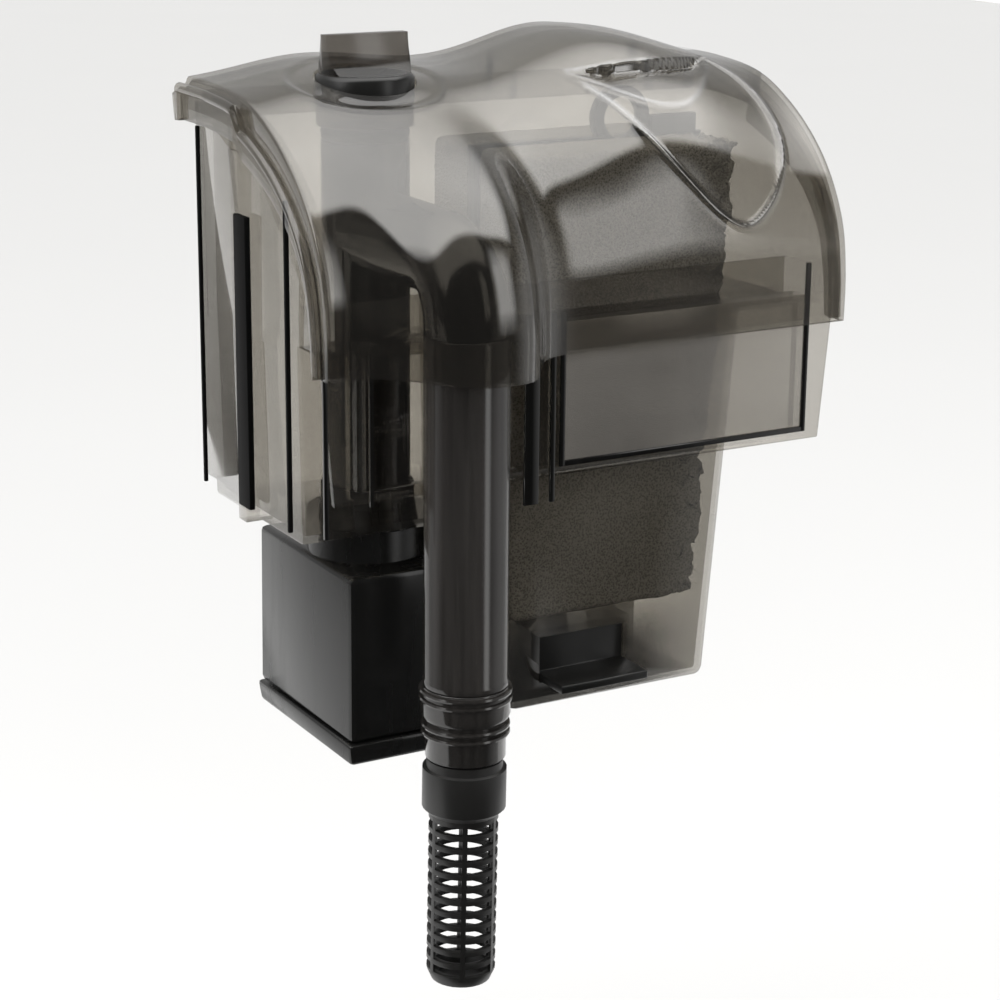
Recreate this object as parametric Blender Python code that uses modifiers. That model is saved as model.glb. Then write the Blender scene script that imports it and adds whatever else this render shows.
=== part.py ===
"""A hang-on-back aquarium filter, as separate named pieces. Metres, +Z up.

The origin is on the underside of the hook, midway across the gap that the tank's glass stands in.
+X is right as seen from inside the tank, -Y points into the tank.
"""

import math

import bmesh
import bpy
from mathutils import Matrix, Vector

MM = 0.001

# Driving dimensions.
WALL = 2.0 * MM
GAP = 0.3 * MM
GLASS_GAP = 16.0 * MM
HOOK_WIDTH = 160.0 * MM
HOOK_DROP = 39.0 * MM
HOOK_TAPER = 3.5 * MM
BODY_DEPTH = 58.0 * MM
BODY_LEFT = -78.0 * MM
BODY_RIGHT = 79.0 * MM
REAR_STEP = 2.2 * MM
REAR_STEP_Y = 38.0 * MM
PUMP_SECTION_WIDTH = 64.0 * MM
PUMP_SECTION_DROP = 54.0 * MM
CHAMBER_RIGHT = 62.0 * MM
CHAMBER_DROP = 113.0 * MM
CHAMBER_DRAFT = 9.5 * MM
BASIN_FLOOR = -3.0 * MM
WEIR_HEIGHT = 10.0 * MM

BODY_FRONT = GLASS_GAP / 2
BODY_REAR = BODY_FRONT + BODY_DEPTH
PANEL_FRONT = -GLASS_GAP / 2 - WALL

LID_HALF_WIDTH = 82.5 * MM
LID_REAR = BODY_REAR + 5.0 * MM
LID_FRONT = PANEL_FRONT - 5.0 * MM
LID_TOP = 61.5 * MM
LID_LOW_EDGE = -4.5 * MM
LID_WALL = 1.8 * MM
LID_SKIRT = 10.5 * MM
LOBE_RISE = 6.5 * MM
LOBE_CLEARANCE = 5.8 * MM
DOME_RISE = 12.5 * MM
DOME_X = 30.0 * MM

PUMP_X = -44.5 * MM
PUMP_Y = 35.0 * MM
TUBE_RADIUS = 11.2 * MM
TUBE_Y = PANEL_FRONT - 0.8 * MM - TUBE_RADIUS
LOBE_REACH = LID_FRONT + LOBE_CLEARANCE - (TUBE_Y - TUBE_RADIUS)
TUBE_WALL = 1.8 * MM
ARM_HEIGHT = 24.5 * MM
ARM_BEND = 16.0 * MM
COLUMN_RADIUS = 12.0 * MM
COLUMN_TOP = 48.0 * MM
TUBE_TOP = 6.0 * MM
TUBE_END = -88.0 * MM
COLLAR_END = -97.0 * MM
EXTENSION_END = -119.0 * MM
SOCKET_TOP = -111.5 * MM
SOCKET_END = -124.4 * MM
SOCKET_RADIUS = 11.3 * MM
TUBE_LEAN = math.radians(0.9)
STRAINER_END = -173.8 * MM
STRAINER_RADIUS = 9.4 * MM
STRAINER_WALL = 1.5 * MM
STRAINER_ROWS = 12
STRAINER_PITCH = 3.73 * MM
STRAINER_COLUMNS = 6
STRAINER_RIB = 1.4 * MM
STRAINER_SLOT = 2.3 * MM
STRAINER_FIRST = -127.0 * MM
STRAINER_TURN = math.radians(-26)
EXTENSION_RADIUS = 8.6 * MM
EXTENSION_TOP = -62.0 * MM
EYE_PLATE = -35.0 * MM

FIN_THICKNESS = 3.0 * MM
STEM_RADIUS = 2.5 * MM
VALVE_TOP = 42.0 * MM
VALVE_LOW = 12.0 * MM
GASKET_LOW = -57.0 * MM
WELL_FLANGE = -58.0 * MM
ROTOR_TOP = -60.0 * MM
SCREW_RADIUS = 1.4 * MM
SCREW_HEAD = 2.6 * MM
SCREW_TIP = -103.0 * MM
GLAND_RADIUS = 4.2 * MM
GLAND_Z = -100.0 * MM
STATOR_MIDDLE = -79.5 * MM
YOKE_Y = 52.5 * MM
BOBBIN_WALL = 1.2 * MM
COIL_DEPTH = 3.8 * MM
HANDLE_X = 36.0 * MM
HANDLE_Z = 49.0 * MM
HANDLE_RADIUS = 9.0 * MM

RIB_PLACES = [-70.0 * MM, -16.0 * MM, -9.5 * MM, 70.0 * MM]
RIB_DEPTH = 2.5 * MM
WINDOW_LEFT = -67.5 * MM
WINDOW_RIGHT = -18.5 * MM
DIVIDER_TOP = 20.0 * MM
REST_PLACES = [-6.0 * MM, 18.0 * MM, 42.0 * MM]

KNOB_RADIUS = 13.2 * MM
KNOB_CLEARANCE = 1.8 * MM
KNOB_BASE = 52.0 * MM
KNOB_SHOULDER = 62.0 * MM
KNOB_TOP = 76.0 * MM

MOTOR_WIDTH = 36.5 * MM
MOTOR_DEPTH = 58.8 * MM
MOTOR_FRONT = 9.2 * MM
MOTOR_TOP = -66.0 * MM
MOTOR_SPLIT = -113.4 * MM
MOTOR_BOTTOM = -119.6 * MM
MOTOR_WALL = 2.2 * MM
NECK_RADIUS = 13.0 * MM
NECK_TOP = -47.0 * MM
WELL_RADIUS = 9.0 * MM
WELL_END = -98.0 * MM
ROTOR_RADIUS = 6.8 * MM
ROTOR_LENGTH = 28.0 * MM
BLADE_RADIUS = 8.6 * MM
BLADE_HEIGHT = 8.0 * MM
BLADE_COUNT = 6
SHAFT_RADIUS = 1.2 * MM

PAD_TOP = 44.0 * MM
PAD_BOTTOM = -88.0 * MM
PAD_THICKNESS = 22.0 * MM
FRAME_THICKNESS = 4.0 * MM
FOOT_WIDTH = 28.5 * MM
FOOT_REACH = 12.0 * MM
FOOT_DEPTH = 13.0 * MM
FOOT_LOW = -105.0 * MM
FOOT_HEIGHT = 13.0 * MM
FOOT_X = 10.5 * MM
FOOT_WALL = 1.6 * MM

PUMP_SECTION_RIGHT = BODY_LEFT + PUMP_SECTION_WIDTH
MOTOR_LEFT = PUMP_X - MOTOR_WIDTH / 2
MOTOR_RIGHT = PUMP_X + MOTOR_WIDTH / 2
MOTOR_REAR = MOTOR_FRONT + MOTOR_DEPTH


def clear_scene():
    """Remove whatever the startup file holds."""
    for old in list(bpy.data.objects):
        bpy.data.objects.remove(old, do_unlink=True)


def make_collection(name):
    """Return a new collection linked under the scene."""
    collection = bpy.data.collections.new(name)
    bpy.context.scene.collection.children.link(collection)
    return collection


clear_scene()
PARTS = make_collection("hang_on_back_filter")
HELPERS = make_collection("cutters")
MATERIALS = {}


def finish(name, colour, roughness, metallic=0.0, alpha=1.0):
    """Make and keep a Principled material under its name."""
    material = bpy.data.materials.new(name)
    material.use_nodes = True
    shader = material.node_tree.nodes["Principled BSDF"]
    shader.inputs["Base Color"].default_value = (*colour, 1.0)
    shader.inputs["Roughness"].default_value = roughness
    shader.inputs["Metallic"].default_value = metallic
    shader.inputs["Alpha"].default_value = alpha
    MATERIALS[name] = material


def make_materials():
    """The finishes of all pieces."""
    finish("smoke_plastic", (0.24, 0.21, 0.18), 0.12, alpha=0.45)
    finish("black_plastic", (0.012, 0.012, 0.011), 0.28)
    finish("dark_tube_plastic", (0.03, 0.027, 0.024), 0.22)
    finish("black_rubber", (0.02, 0.02, 0.02), 0.7)
    finish("steel", (0.5, 0.5, 0.5), 0.35, 1.0)
    finish("copper", (0.72, 0.33, 0.16), 0.3, 1.0)
    finish("magnet", (0.05, 0.05, 0.055), 0.5)
    finish("ceramic", (0.85, 0.84, 0.8), 0.3)
    finish("white_nylon", (0.75, 0.74, 0.7), 0.5)
    finish("filter_foam", (0.035, 0.034, 0.033), 0.95)


def link(name, mesh, material=None):
    """Put a mesh into the parts collection as a named object."""
    thing = bpy.data.objects.new(name, mesh)
    PARTS.objects.link(thing)
    if material:
        mesh.materials.append(MATERIALS[material])
    return thing


def as_helper(thing):
    """Hide a cutter or a joined shape from the finished model."""
    PARTS.objects.unlink(thing)
    HELPERS.objects.link(thing)
    thing.hide_render = True
    thing.display_type = "WIRE"
    return thing


def combine(target, other, operation):
    """Join, cut or intersect the target with a helper."""
    modifier = target.modifiers.new(other.name, "BOOLEAN")
    modifier.operation = operation
    modifier.solver = "EXACT"
    modifier.object = as_helper(other)


def join(target, other):
    """Union a shape into the target."""
    combine(target, other, "UNION")


def cut(target, other):
    """Cut a shape out of the target."""
    combine(target, other, "DIFFERENCE")


def round_edges(thing, width, segments=2, angle=50):
    """Round the sharp edges of a piece."""
    bevel = thing.modifiers.new("rounding", "BEVEL")
    bevel.width = width
    bevel.segments = segments
    bevel.limit_method = "ANGLE"
    bevel.angle_limit = math.radians(angle)


def smooth(thing, angle=35):
    """Shade a round piece smooth, with its corners kept."""
    thing.data.shade_smooth()
    thing.data.set_sharp_from_angle(angle=math.radians(angle))


def block(name, low, high, material=None, rounding=0.0, bottom_inset=(0, 0, 0, 0)):
    """A box between two corners; bottom_inset pulls its floor in at left, right, front and rear."""
    mesh = bpy.data.meshes.new(name)
    maker = bmesh.new()
    bmesh.ops.create_cube(maker, size=1.0)
    low, high = Vector(low), Vector(high)
    left, right, front, rear = bottom_inset
    for vertex in maker.verts:
        at_floor = vertex.co.z < 0
        place = [low[i] if vertex.co[i] < 0 else high[i] for i in range(3)]
        if at_floor:
            place[0] += left if vertex.co.x < 0 else -right
            place[1] += front if vertex.co.y < 0 else -rear
        vertex.co = place
    maker.to_mesh(mesh)
    maker.free()
    thing = link(name, mesh, material)
    if rounding:
        round_edges(thing, rounding)
    return thing


def rod(name, centre, radius, low, high, material=None, sides=32, top_radius=None):
    """An upright cylinder or cone from z low to z high."""
    mesh = bpy.data.meshes.new(name)
    maker = bmesh.new()
    bmesh.ops.create_cone(
        maker,
        cap_ends=True,
        segments=sides,
        radius1=radius,
        radius2=radius if top_radius is None else top_radius,
        depth=high - low,
        matrix=Matrix.Translation((centre[0], centre[1], (low + high) / 2)),
    )
    maker.to_mesh(mesh)
    maker.free()
    thing = link(name, mesh, material)
    smooth(thing)
    return thing


def rod_along(name, start, end, radius, material=None, sides=32):
    """A cylinder between two points."""
    start, end = Vector(start), Vector(end)
    mesh = bpy.data.meshes.new(name)
    maker = bmesh.new()
    turn = (end - start).to_track_quat("Z", "Y").to_matrix().to_4x4()
    bmesh.ops.create_cone(
        maker,
        cap_ends=True,
        segments=sides,
        radius1=radius,
        radius2=radius,
        depth=(end - start).length,
        matrix=Matrix.Translation((start + end) / 2) @ turn,
    )
    maker.to_mesh(mesh)
    maker.free()
    thing = link(name, mesh, material)
    smooth(thing)
    return thing


def turned(name, centre, profile, material=None, sides=32):
    """A body turned about the vertical through centre; its closed profile runs down the outer side."""
    mesh = bpy.data.meshes.new(name)
    points = [(radius, 0, height) for radius, height in profile]
    pairs = [(i, (i + 1) % len(points)) for i in range(len(points))]
    off_axis = [(i, j) for i, j in pairs if profile[i][0] > 0 or profile[j][0] > 0]
    mesh.from_pydata(points, off_axis, [])
    thing = link(name, mesh, material)
    thing.location = (centre[0], centre[1], 0)
    screw = thing.modifiers.new("turning", "SCREW")
    screw.steps = sides
    screw.render_steps = sides
    screw.use_merge_vertices = True
    screw.merge_threshold = 0.00001
    screw.use_smooth_shade = True
    return thing


def sleeve(name, centre, outer, inner, low, high, material=None, sides=32):
    """A turned tube with square ends."""
    profile = [(outer, high), (outer, low), (inner, low), (inner, high)]
    return turned(name, centre, profile, material, sides)


def extruded(name, outline, left, right, material=None):
    """A prism along X whose outline is given as (y, z), counted clockwise seen from +X."""
    mesh = bpy.data.meshes.new(name)
    maker = bmesh.new()
    ring = [maker.verts.new((left, y, z)) for y, z in outline]
    face = maker.faces.new(ring)
    moved = bmesh.ops.extrude_face_region(maker, geom=[face])["geom"]
    shifted = [item for item in moved if isinstance(item, bmesh.types.BMVert)]
    bmesh.ops.translate(maker, verts=shifted, vec=(right - left, 0, 0))
    bmesh.ops.recalc_face_normals(maker, faces=maker.faces)
    maker.to_mesh(mesh)
    maker.free()
    return link(name, mesh, material)


def through_points(stops, share):
    """A point a share of the way along a smooth curve through the stops."""
    place = min(share * (len(stops) - 1), len(stops) - 1.000001)
    index = int(place)
    t = place - index
    picks = [stops[max(0, min(len(stops) - 1, index + k))] for k in (-1, 0, 1, 2)]
    before, start, end, after = (Vector(pick) for pick in picks)
    rise = 2 * before - 5 * start + 4 * end - after
    turn = 3 * start - before - 3 * end + after
    return 0.5 * (2 * start + (end - before) * t + rise * t**2 + turn * t**3)


# The lid's side outline at either end, from the rear of the top to the low front edge.
LID_OUTLINE = [
    (LID_REAR, LID_TOP),
    (50 * MM, LID_TOP - 0.5 * MM),
    (30 * MM, LID_TOP - 3 * MM),
    (14 * MM, LID_TOP - 10 * MM),
    (1 * MM, LID_TOP - 19.5 * MM),
    (-7.5 * MM, LID_TOP - 29.5 * MM),
    (LID_FRONT + 2 * MM, LID_TOP - 41 * MM),
    (LID_FRONT, LID_TOP - 54 * MM),
    (LID_FRONT, LID_LOW_EDGE),
]
# How far each point of that outline follows the rises of the top, and the reach of the front.
RISE_SHARE = [0.9, 1.0, 1.0, 0.95, 0.85, 0.65, 0.4, 0.15, 0.0]
REACH_SHARE = [0.0, 0.0, 0.0, 0.12, 0.52, 0.8, 0.93, 0.99, 1.0]


def bell(x, middle, left_width, right_width, power=2):
    """A bell curve whose two sides have their own widths; a higher power flattens its top."""
    width = left_width if x < middle else right_width
    return math.exp(-(abs((x - middle) / width) ** power))


def lid_point(x, share):
    """A point (y, z) of the lid's outer face, a share of the way from rear to front."""
    y, z = through_points(LID_OUTLINE, share)
    rise_share = through_points([(s, 0) for s in RISE_SHARE], share)[0]
    reach_share = through_points([(s, 0) for s in REACH_SHARE], share)[0]
    rise = LOBE_RISE * bell(x, PUMP_X, 28 * MM, 32 * MM) + DOME_RISE * bell(x, DOME_X, 30 * MM, 36 * MM)
    reach = LOBE_REACH * bell(x, PUMP_X + 3 * MM, TUBE_RADIUS + 7.8 * MM, TUBE_RADIUS + 6.8 * MM, 3)
    return y - reach * reach_share, z + rise * rise_share


def lid_section(x, rows, edge_drop):
    """One row of points from the rear skirt over the top to the front edge."""
    low = (LID_REAR, LID_TOP - LID_SKIRT)
    line = [low] + [lid_point(x, i / rows) for i in range(rows + 1)]
    return [Vector((x, y, z)) + edge_drop(i, x) for i, (y, z) in enumerate(line)]


def make_lid():
    """The roll-top cover: a lofted skin with side and rear skirts, thickened inwards."""
    rows, columns = 20, 30
    mesh = bpy.data.meshes.new("lid")
    maker = bmesh.new()

    def skirt_drop(index, x):
        """The way from the end outline to the lower edge of the side skirt."""
        if index <= 1:
            return Vector((0, 0, LID_TOP - LID_SKIRT - lid_point(x, 0)[1])) * index
        share = (index - 1) / rows
        ahead = Vector(lid_point(LID_HALF_WIDTH, min(1, share + 0.02)))
        behind = Vector(lid_point(LID_HALF_WIDTH, share - 0.02))
        along = (ahead - behind).normalized()
        width = LID_SKIRT if share < 0.45 else max(4 * MM, LID_SKIRT - (share - 0.45) * 22 * MM)
        return Vector((0, -along.y, along.x)) * width

    def no_drop(_index, _x):
        """The skin itself stays on its outline."""
        return Vector((0, 0, 0))

    sections = [lid_section(-LID_HALF_WIDTH, rows, skirt_drop)]
    for step in range(columns + 1):
        x = LID_HALF_WIDTH * (2 * step / columns - 1)
        sections.append(lid_section(x, rows, no_drop))
    sections.append(lid_section(LID_HALF_WIDTH, rows, skirt_drop))
    grid = [[maker.verts.new(point) for point in section] for section in sections]
    for left, right in zip(grid, grid[1:]):
        for i in range(len(left) - 1):
            maker.faces.new((left[i], left[i + 1], right[i + 1], right[i]))
    bmesh.ops.remove_doubles(maker, verts=maker.verts, dist=0.00001)
    bmesh.ops.recalc_face_normals(maker, faces=maker.faces)
    highest = max(maker.faces, key=lambda face: face.calc_center_median().z)
    if highest.normal.z < 0:
        bmesh.ops.reverse_faces(maker, faces=maker.faces)
    maker.to_mesh(mesh)
    maker.free()
    lid = link("lid", mesh, "smoke_plastic")
    shell = lid.modifiers.new("wall", "SOLIDIFY")
    shell.thickness = LID_WALL
    shell.offset = -1
    shell.use_even_offset = False
    cut(lid, rod("knob_hole", (PUMP_X, PUMP_Y), KNOB_RADIUS + KNOB_CLEARANCE, 30 * MM, 90 * MM, sides=48))
    smooth(lid, 40)


def rim_outline():
    """The side walls' outline (y, z): the lid's outline moved in by its wall and a small gap."""
    inset = LID_WALL + GAP
    steps = 24
    line = []
    for i in range(steps + 1):
        ahead = Vector(through_points(LID_OUTLINE, min(1, i / steps + 0.02)))
        behind = Vector(through_points(LID_OUTLINE, max(0, i / steps - 0.02)))
        along = (ahead - behind).normalized()
        y, z = Vector(through_points(LID_OUTLINE, i / steps)) + Vector((-along.y, along.x)) * inset
        y = min(max(y, PANEL_FRONT), BODY_REAR)
        if z > WALL and (not line or (Vector((y, z)) - Vector(line[-1])).length > 1 * MM):
            line.append((y, z))
    return line


def basin_shell():
    """The upper basin's outer block, whose side walls follow the lid."""
    low = [(PANEL_FRONT, WALL), (PANEL_FRONT, 0), (BODY_FRONT, 0), (BODY_FRONT, BASIN_FLOOR)]
    outline = rim_outline() + low + [(BODY_REAR, BASIN_FLOOR)]
    return extruded("filter_body", outline, BODY_LEFT, BODY_RIGHT, "smoke_plastic")


def join_sections(body):
    """Add the outer blocks of the pump section, its stepped rear and the media chamber."""
    top = 2 * MM
    low = -PUMP_SECTION_DROP
    front, rear = BODY_FRONT, BODY_REAR
    draft = (0.7 * MM, 0, 0, 1 * MM)
    pump = block(
        "pump_section", (BODY_LEFT, front, low), (PUMP_SECTION_RIGHT, rear, top), rounding=1.2 * MM, bottom_inset=draft
    )
    join(body, pump)
    ridge = REAR_STEP_Y + 5 * MM
    stepped = BODY_LEFT - REAR_STEP
    rear_top = LID_TOP - LID_WALL - 3.2 * MM
    rear_low = low + 6 * MM
    join(body, block("stepped_rear", (stepped, ridge, rear_low), (BODY_LEFT + 6 * MM, rear, rear_top), bottom_inset=draft))
    ridge_top = LID_TOP - LID_SKIRT - 4.5 * MM
    corner = (BODY_LEFT + 6 * MM, ridge + 1 * MM, ridge_top)
    join(body, block("side_ridge", (stepped - 0.4 * MM, REAR_STEP_Y, low - 1 * MM), corner, bottom_inset=draft))
    chamber = block(
        "media_chamber",
        (PUMP_SECTION_RIGHT, front, -CHAMBER_DROP),
        (CHAMBER_RIGHT, rear, top),
        rounding=3 * MM,
        bottom_inset=(0, CHAMBER_DRAFT, 0, 4 * MM),
    )
    join(body, chamber)


def join_hook(body):
    """Add the hook's front wall, which hangs inside the tank, with its stiffening ribs."""
    half = HOOK_WIDTH / 2
    back = -GLASS_GAP / 2
    inset = (HOOK_TAPER, HOOK_TAPER, 0, 0)
    wall = block("front_wall", (-half, PANEL_FRONT, -HOOK_DROP), (half, back, WALL), rounding=0.5 * MM, bottom_inset=inset)
    join(body, wall)
    for x in RIB_PLACES:
        low = (x - 1 * MM, back - 0.5 * MM, -HOOK_DROP + 1 * MM)
        join(body, block("upright_rib", low, (x + 1 * MM, back + RIB_DEPTH, 1 * MM)))
    low = (RIB_PLACES[0], back - 0.5 * MM, -HOOK_DROP + 0.6 * MM)
    join(body, block("bottom_rib", low, (RIB_PLACES[-1], back + RIB_DEPTH, -HOOK_DROP + 2.8 * MM)))


def hollow_body(body):
    """Cut the basin, the pump section, the chamber and the openings."""
    high = 90 * MM
    left, right = BODY_LEFT + WALL, BODY_RIGHT - WALL
    front, rear = BODY_FRONT + WALL, BODY_REAR - WALL
    cut(body, block("basin_space", (left, front, BASIN_FLOOR + WALL), (right, rear, high)))
    cut(body, block("spillway_space", (left, PANEL_FRONT - 5 * MM, WALL), (right, BODY_FRONT, high)))
    cut(body, block("over_weir_space", (left, BODY_FRONT - 1 * MM, WEIR_HEIGHT), (right, front + 1 * MM, high)))
    draft = (0.7 * MM, 0, 0, 1 * MM)
    floor = -PUMP_SECTION_DROP + WALL
    pump_right = PUMP_SECTION_RIGHT - WALL
    cut(body, block("pump_space", (left, front, floor), (pump_right, rear, 0), bottom_inset=draft))
    chamber_low = (PUMP_SECTION_RIGHT + 0.4 * MM, front, -CHAMBER_DROP + WALL)
    chamber = block(
        "media_space",
        chamber_low,
        (CHAMBER_RIGHT - WALL, rear, 0),
        rounding=1.2 * MM,
        bottom_inset=(0, CHAMBER_DRAFT, 0, 4 * MM),
    )
    cut(body, chamber)
    cut(body, rod("neck_hole", (PUMP_X, PUMP_Y), NECK_RADIUS + GAP, floor - 2 * WALL, floor + WALL))
    low = (WINDOW_LEFT, PANEL_FRONT - 1 * MM, -HOOK_DROP + 3.2 * MM)
    cut(body, block("tube_window", low, (WINDOW_RIGHT, -GLASS_GAP / 2 + 1 * MM, -1 * MM)))


def add_body_fittings(body):
    """Join the divider, the ribs that the media stands on and the sleeve that the foot slides in."""
    divider_x = PUMP_SECTION_RIGHT - WALL
    rear = BODY_REAR - WALL / 2
    low = (divider_x, BODY_FRONT + WALL / 2, -PUMP_SECTION_DROP + 1 * MM)
    join(body, block("divider", low, (PUMP_SECTION_RIGHT + 0.4 * MM, rear, DIVIDER_TOP)))
    window = block(
        "flow_window",
        (divider_x - 2 * MM, PUMP_Y - 9 * MM, -PUMP_SECTION_DROP + 5 * MM),
        (divider_x + 5 * MM, PUMP_Y + 9 * MM, -PUMP_SECTION_DROP + 24 * MM),
    )
    cut(body, window)
    for x in REST_PLACES:
        low = (x - 0.8 * MM, BODY_FRONT + 24 * MM, -CHAMBER_DROP + 1 * MM)
        join(body, block("rest_rib", low, (x + 0.8 * MM, BODY_REAR - 8 * MM, PAD_BOTTOM - GAP)))
    half = FOOT_WIDTH / 2
    outer = GAP + FOOT_WALL
    deep = BODY_FRONT + FOOT_DEPTH + 2 * GAP
    low = Vector((FOOT_X - half - GAP, BODY_FRONT - 1 * MM, FOOT_LOW - GAP))
    high = Vector((FOOT_X + half + GAP, deep, FOOT_LOW + FOOT_HEIGHT + GAP))
    grow = Vector((FOOT_WALL, 0, FOOT_WALL))
    start = Vector((0, 1.5 * MM, 0))
    join(body, block("foot_sleeve", low - grow + start, high + grow + Vector((0, FOOT_WALL, 0))))
    cut(body, block("foot_space", low, high))


def make_filter_body():
    """The clear case: basin, pump section, media chamber and hook in one moulding."""
    body = basin_shell()
    join_sections(body)
    join_hook(body)
    hollow_body(body)
    add_body_fittings(body)


def pipe(name, points, radius, sides=2):
    """A solid round bar along points, as a mesh that can be joined or cut."""
    curve = bpy.data.curves.new(name, "CURVE")
    curve.dimensions = "3D"
    curve.bevel_depth = radius
    curve.bevel_resolution = sides
    curve.use_fill_caps = True
    spline = curve.splines.new("POLY")
    spline.points.add(len(points) - 1)
    for slot, point in zip(spline.points, points):
        slot.co = (*point, 1)
    guide = bpy.data.objects.new(name + "_guide", curve)
    PARTS.objects.link(guide)
    graph = bpy.context.evaluated_depsgraph_get()
    mesh = bpy.data.meshes.new_from_object(guide.evaluated_get(graph))
    bpy.data.objects.remove(guide)
    maker = bmesh.new()
    maker.from_mesh(mesh)
    bmesh.ops.remove_doubles(maker, verts=maker.verts, dist=0.00001)
    bmesh.ops.recalc_face_normals(maker, faces=maker.faces)
    maker.to_mesh(mesh)
    maker.free()
    mesh.name = name
    return link(name, mesh)


def arm_path(overrun):
    """The centre line of the arm: from the column forward, round the bend and down."""
    points = [Vector((PUMP_X, PUMP_Y, ARM_HEIGHT))]
    turns = 7
    for i in range(turns + 1):
        angle = math.pi / 2 * i / turns
        y = TUBE_Y + ARM_BEND * (1 - math.sin(angle))
        z = ARM_HEIGHT - ARM_BEND * (1 - math.cos(angle))
        points.append(Vector((PUMP_X, y, z)))
    points.append(Vector((PUMP_X, TUBE_Y, TUBE_TOP - overrun)))
    return points


def make_intake_manifold():
    """The upright column over the pump, with the arm that carries the water over the tank's rim."""
    centre = (PUMP_X, PUMP_Y)
    manifold = rod("intake_manifold", centre, COLUMN_RADIUS, NECK_TOP + GAP, COLUMN_TOP, "dark_tube_plastic")
    join(manifold, pipe("arm_outside", arm_path(0), TUBE_RADIUS, 6))
    spigot = TUBE_RADIUS - TUBE_WALL - GAP
    join(manifold, rod("tube_spigot", (PUMP_X, TUBE_Y), spigot, TUBE_TOP - 10 * MM, TUBE_TOP + 3 * MM))
    cut(manifold, rod("column_bore", centre, COLUMN_RADIUS - TUBE_WALL, EYE_PLATE + WALL, COLUMN_TOP + 5 * MM))
    volute = COLUMN_RADIUS - 1.2 * MM
    cut(manifold, rod("pump_bore", centre, volute, NECK_TOP - 5 * MM, EYE_PLATE))
    cut(manifold, pipe("arm_bore", arm_path(15 * MM), spigot - 1.4 * MM, 6))
    for k in range(3):
        angle = 2 * math.pi * k / 3
        place = (PUMP_X + 5.6 * MM * math.cos(angle), PUMP_Y + 5.6 * MM * math.sin(angle))
        cut(manifold, rod("eye_hole", place, 2.3 * MM, EYE_PLATE - 1 * MM, EYE_PLATE + 4 * MM, sides=16))
    low = (PUMP_X, PUMP_Y - 6 * MM, NECK_TOP - 1 * MM)
    cut(manifold, block("outlet_port", low, (PUMP_X + 20 * MM, PUMP_Y + 6 * MM, EYE_PLATE - 1.5 * MM)))


def make_intake_tubes():
    """The fixed suction tube, its locking collar and the telescoping inner tube."""
    centre = (PUMP_X, TUBE_Y)
    inner = TUBE_RADIUS - TUBE_WALL
    profile = [
        (TUBE_RADIUS, TUBE_TOP - GAP),
        (TUBE_RADIUS, TUBE_END + 2 * MM),
        (TUBE_RADIUS + 0.3 * MM, TUBE_END + 1.5 * MM),
        (TUBE_RADIUS + 0.3 * MM, TUBE_END),
        (inner, TUBE_END),
        (inner, TUBE_TOP - GAP),
    ]
    turned("intake_tube", centre, profile, "dark_tube_plastic")
    grip = inner
    collar = [
        (TUBE_RADIUS + 0.2 * MM, TUBE_END - GAP),
        (TUBE_RADIUS + 0.8 * MM, COLLAR_END + 1.2 * MM),
        (TUBE_RADIUS + 0.4 * MM, COLLAR_END),
        (TUBE_RADIUS - 0.4 * MM, COLLAR_END - 0.3 * MM),
        (TUBE_RADIUS - 0.4 * MM, SOCKET_TOP + 3.3 * MM),
        (grip, SOCKET_TOP + 3.3 * MM),
        (grip, TUBE_END - GAP),
    ]
    turned("tube_collar", centre, collar, "dark_tube_plastic")
    outside = EXTENSION_RADIUS
    tube = sleeve("extension_tube", centre, outside, outside - 1.5 * MM, EXTENSION_END, EXTENSION_TOP, "dark_tube_plastic")
    lean(tube)


def lean(thing):
    """Tip a shape about the collar, as the loose inner tube hangs."""
    pivot = Vector((PUMP_X, TUBE_Y, COLLAR_END))
    about = Matrix.Translation(pivot) @ Matrix.Rotation(TUBE_LEAN, 4, "Y") @ Matrix.Translation(-pivot)
    thing.matrix_basis = about @ thing.matrix_basis


def make_strainer():
    """The slotted intake basket and the socket that pushes over the inner tube."""
    centre = (PUMP_X, TUBE_Y)
    radius, inner = STRAINER_RADIUS, STRAINER_RADIUS - STRAINER_WALL
    cup = SOCKET_RADIUS
    seat = EXTENSION_RADIUS + GAP
    profile = [
        (cup - 1 * MM, SOCKET_TOP + 2.6 * MM),
        (cup - 1 * MM, SOCKET_TOP + 0.3 * MM),
        (cup, SOCKET_TOP),
        (cup, SOCKET_END + 1.8 * MM),
        (radius, SOCKET_END),
        (radius, STRAINER_END + 4 * MM),
        (radius - 1.2 * MM, STRAINER_END + 1.2 * MM),
        (radius - 4 * MM, STRAINER_END),
        (0, STRAINER_END),
        (0, STRAINER_END + STRAINER_WALL),
        (inner - 2 * MM, STRAINER_END + STRAINER_WALL),
        (inner, STRAINER_END + 4 * MM),
        (inner, EXTENSION_END - GAP),
        (seat, EXTENSION_END - GAP),
        (seat, SOCKET_TOP + 2.6 * MM),
    ]
    strainer = turned("strainer", centre, profile, "black_plastic", sides=30)
    lean(strainer)
    slot_width = 2 * radius * math.sin(math.pi / STRAINER_COLUMNS - STRAINER_RIB / 2 / radius)
    for row in range(STRAINER_ROWS):
        z = STRAINER_FIRST - row * STRAINER_PITCH
        for k in range(STRAINER_COLUMNS // 2):
            low = (-radius - 2 * MM, -slot_width / 2, z - STRAINER_SLOT / 2)
            high = (radius + 2 * MM, slot_width / 2, z + STRAINER_SLOT / 2)
            slot = block("slot", low, high)
            slot.location = (PUMP_X, TUBE_Y, 0)
            slot.rotation_euler.z = (k + 0.5) * 2 * math.pi / STRAINER_COLUMNS - math.pi / 2 + STRAINER_TURN
            lean(slot)
            cut(strainer, slot)


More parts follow.
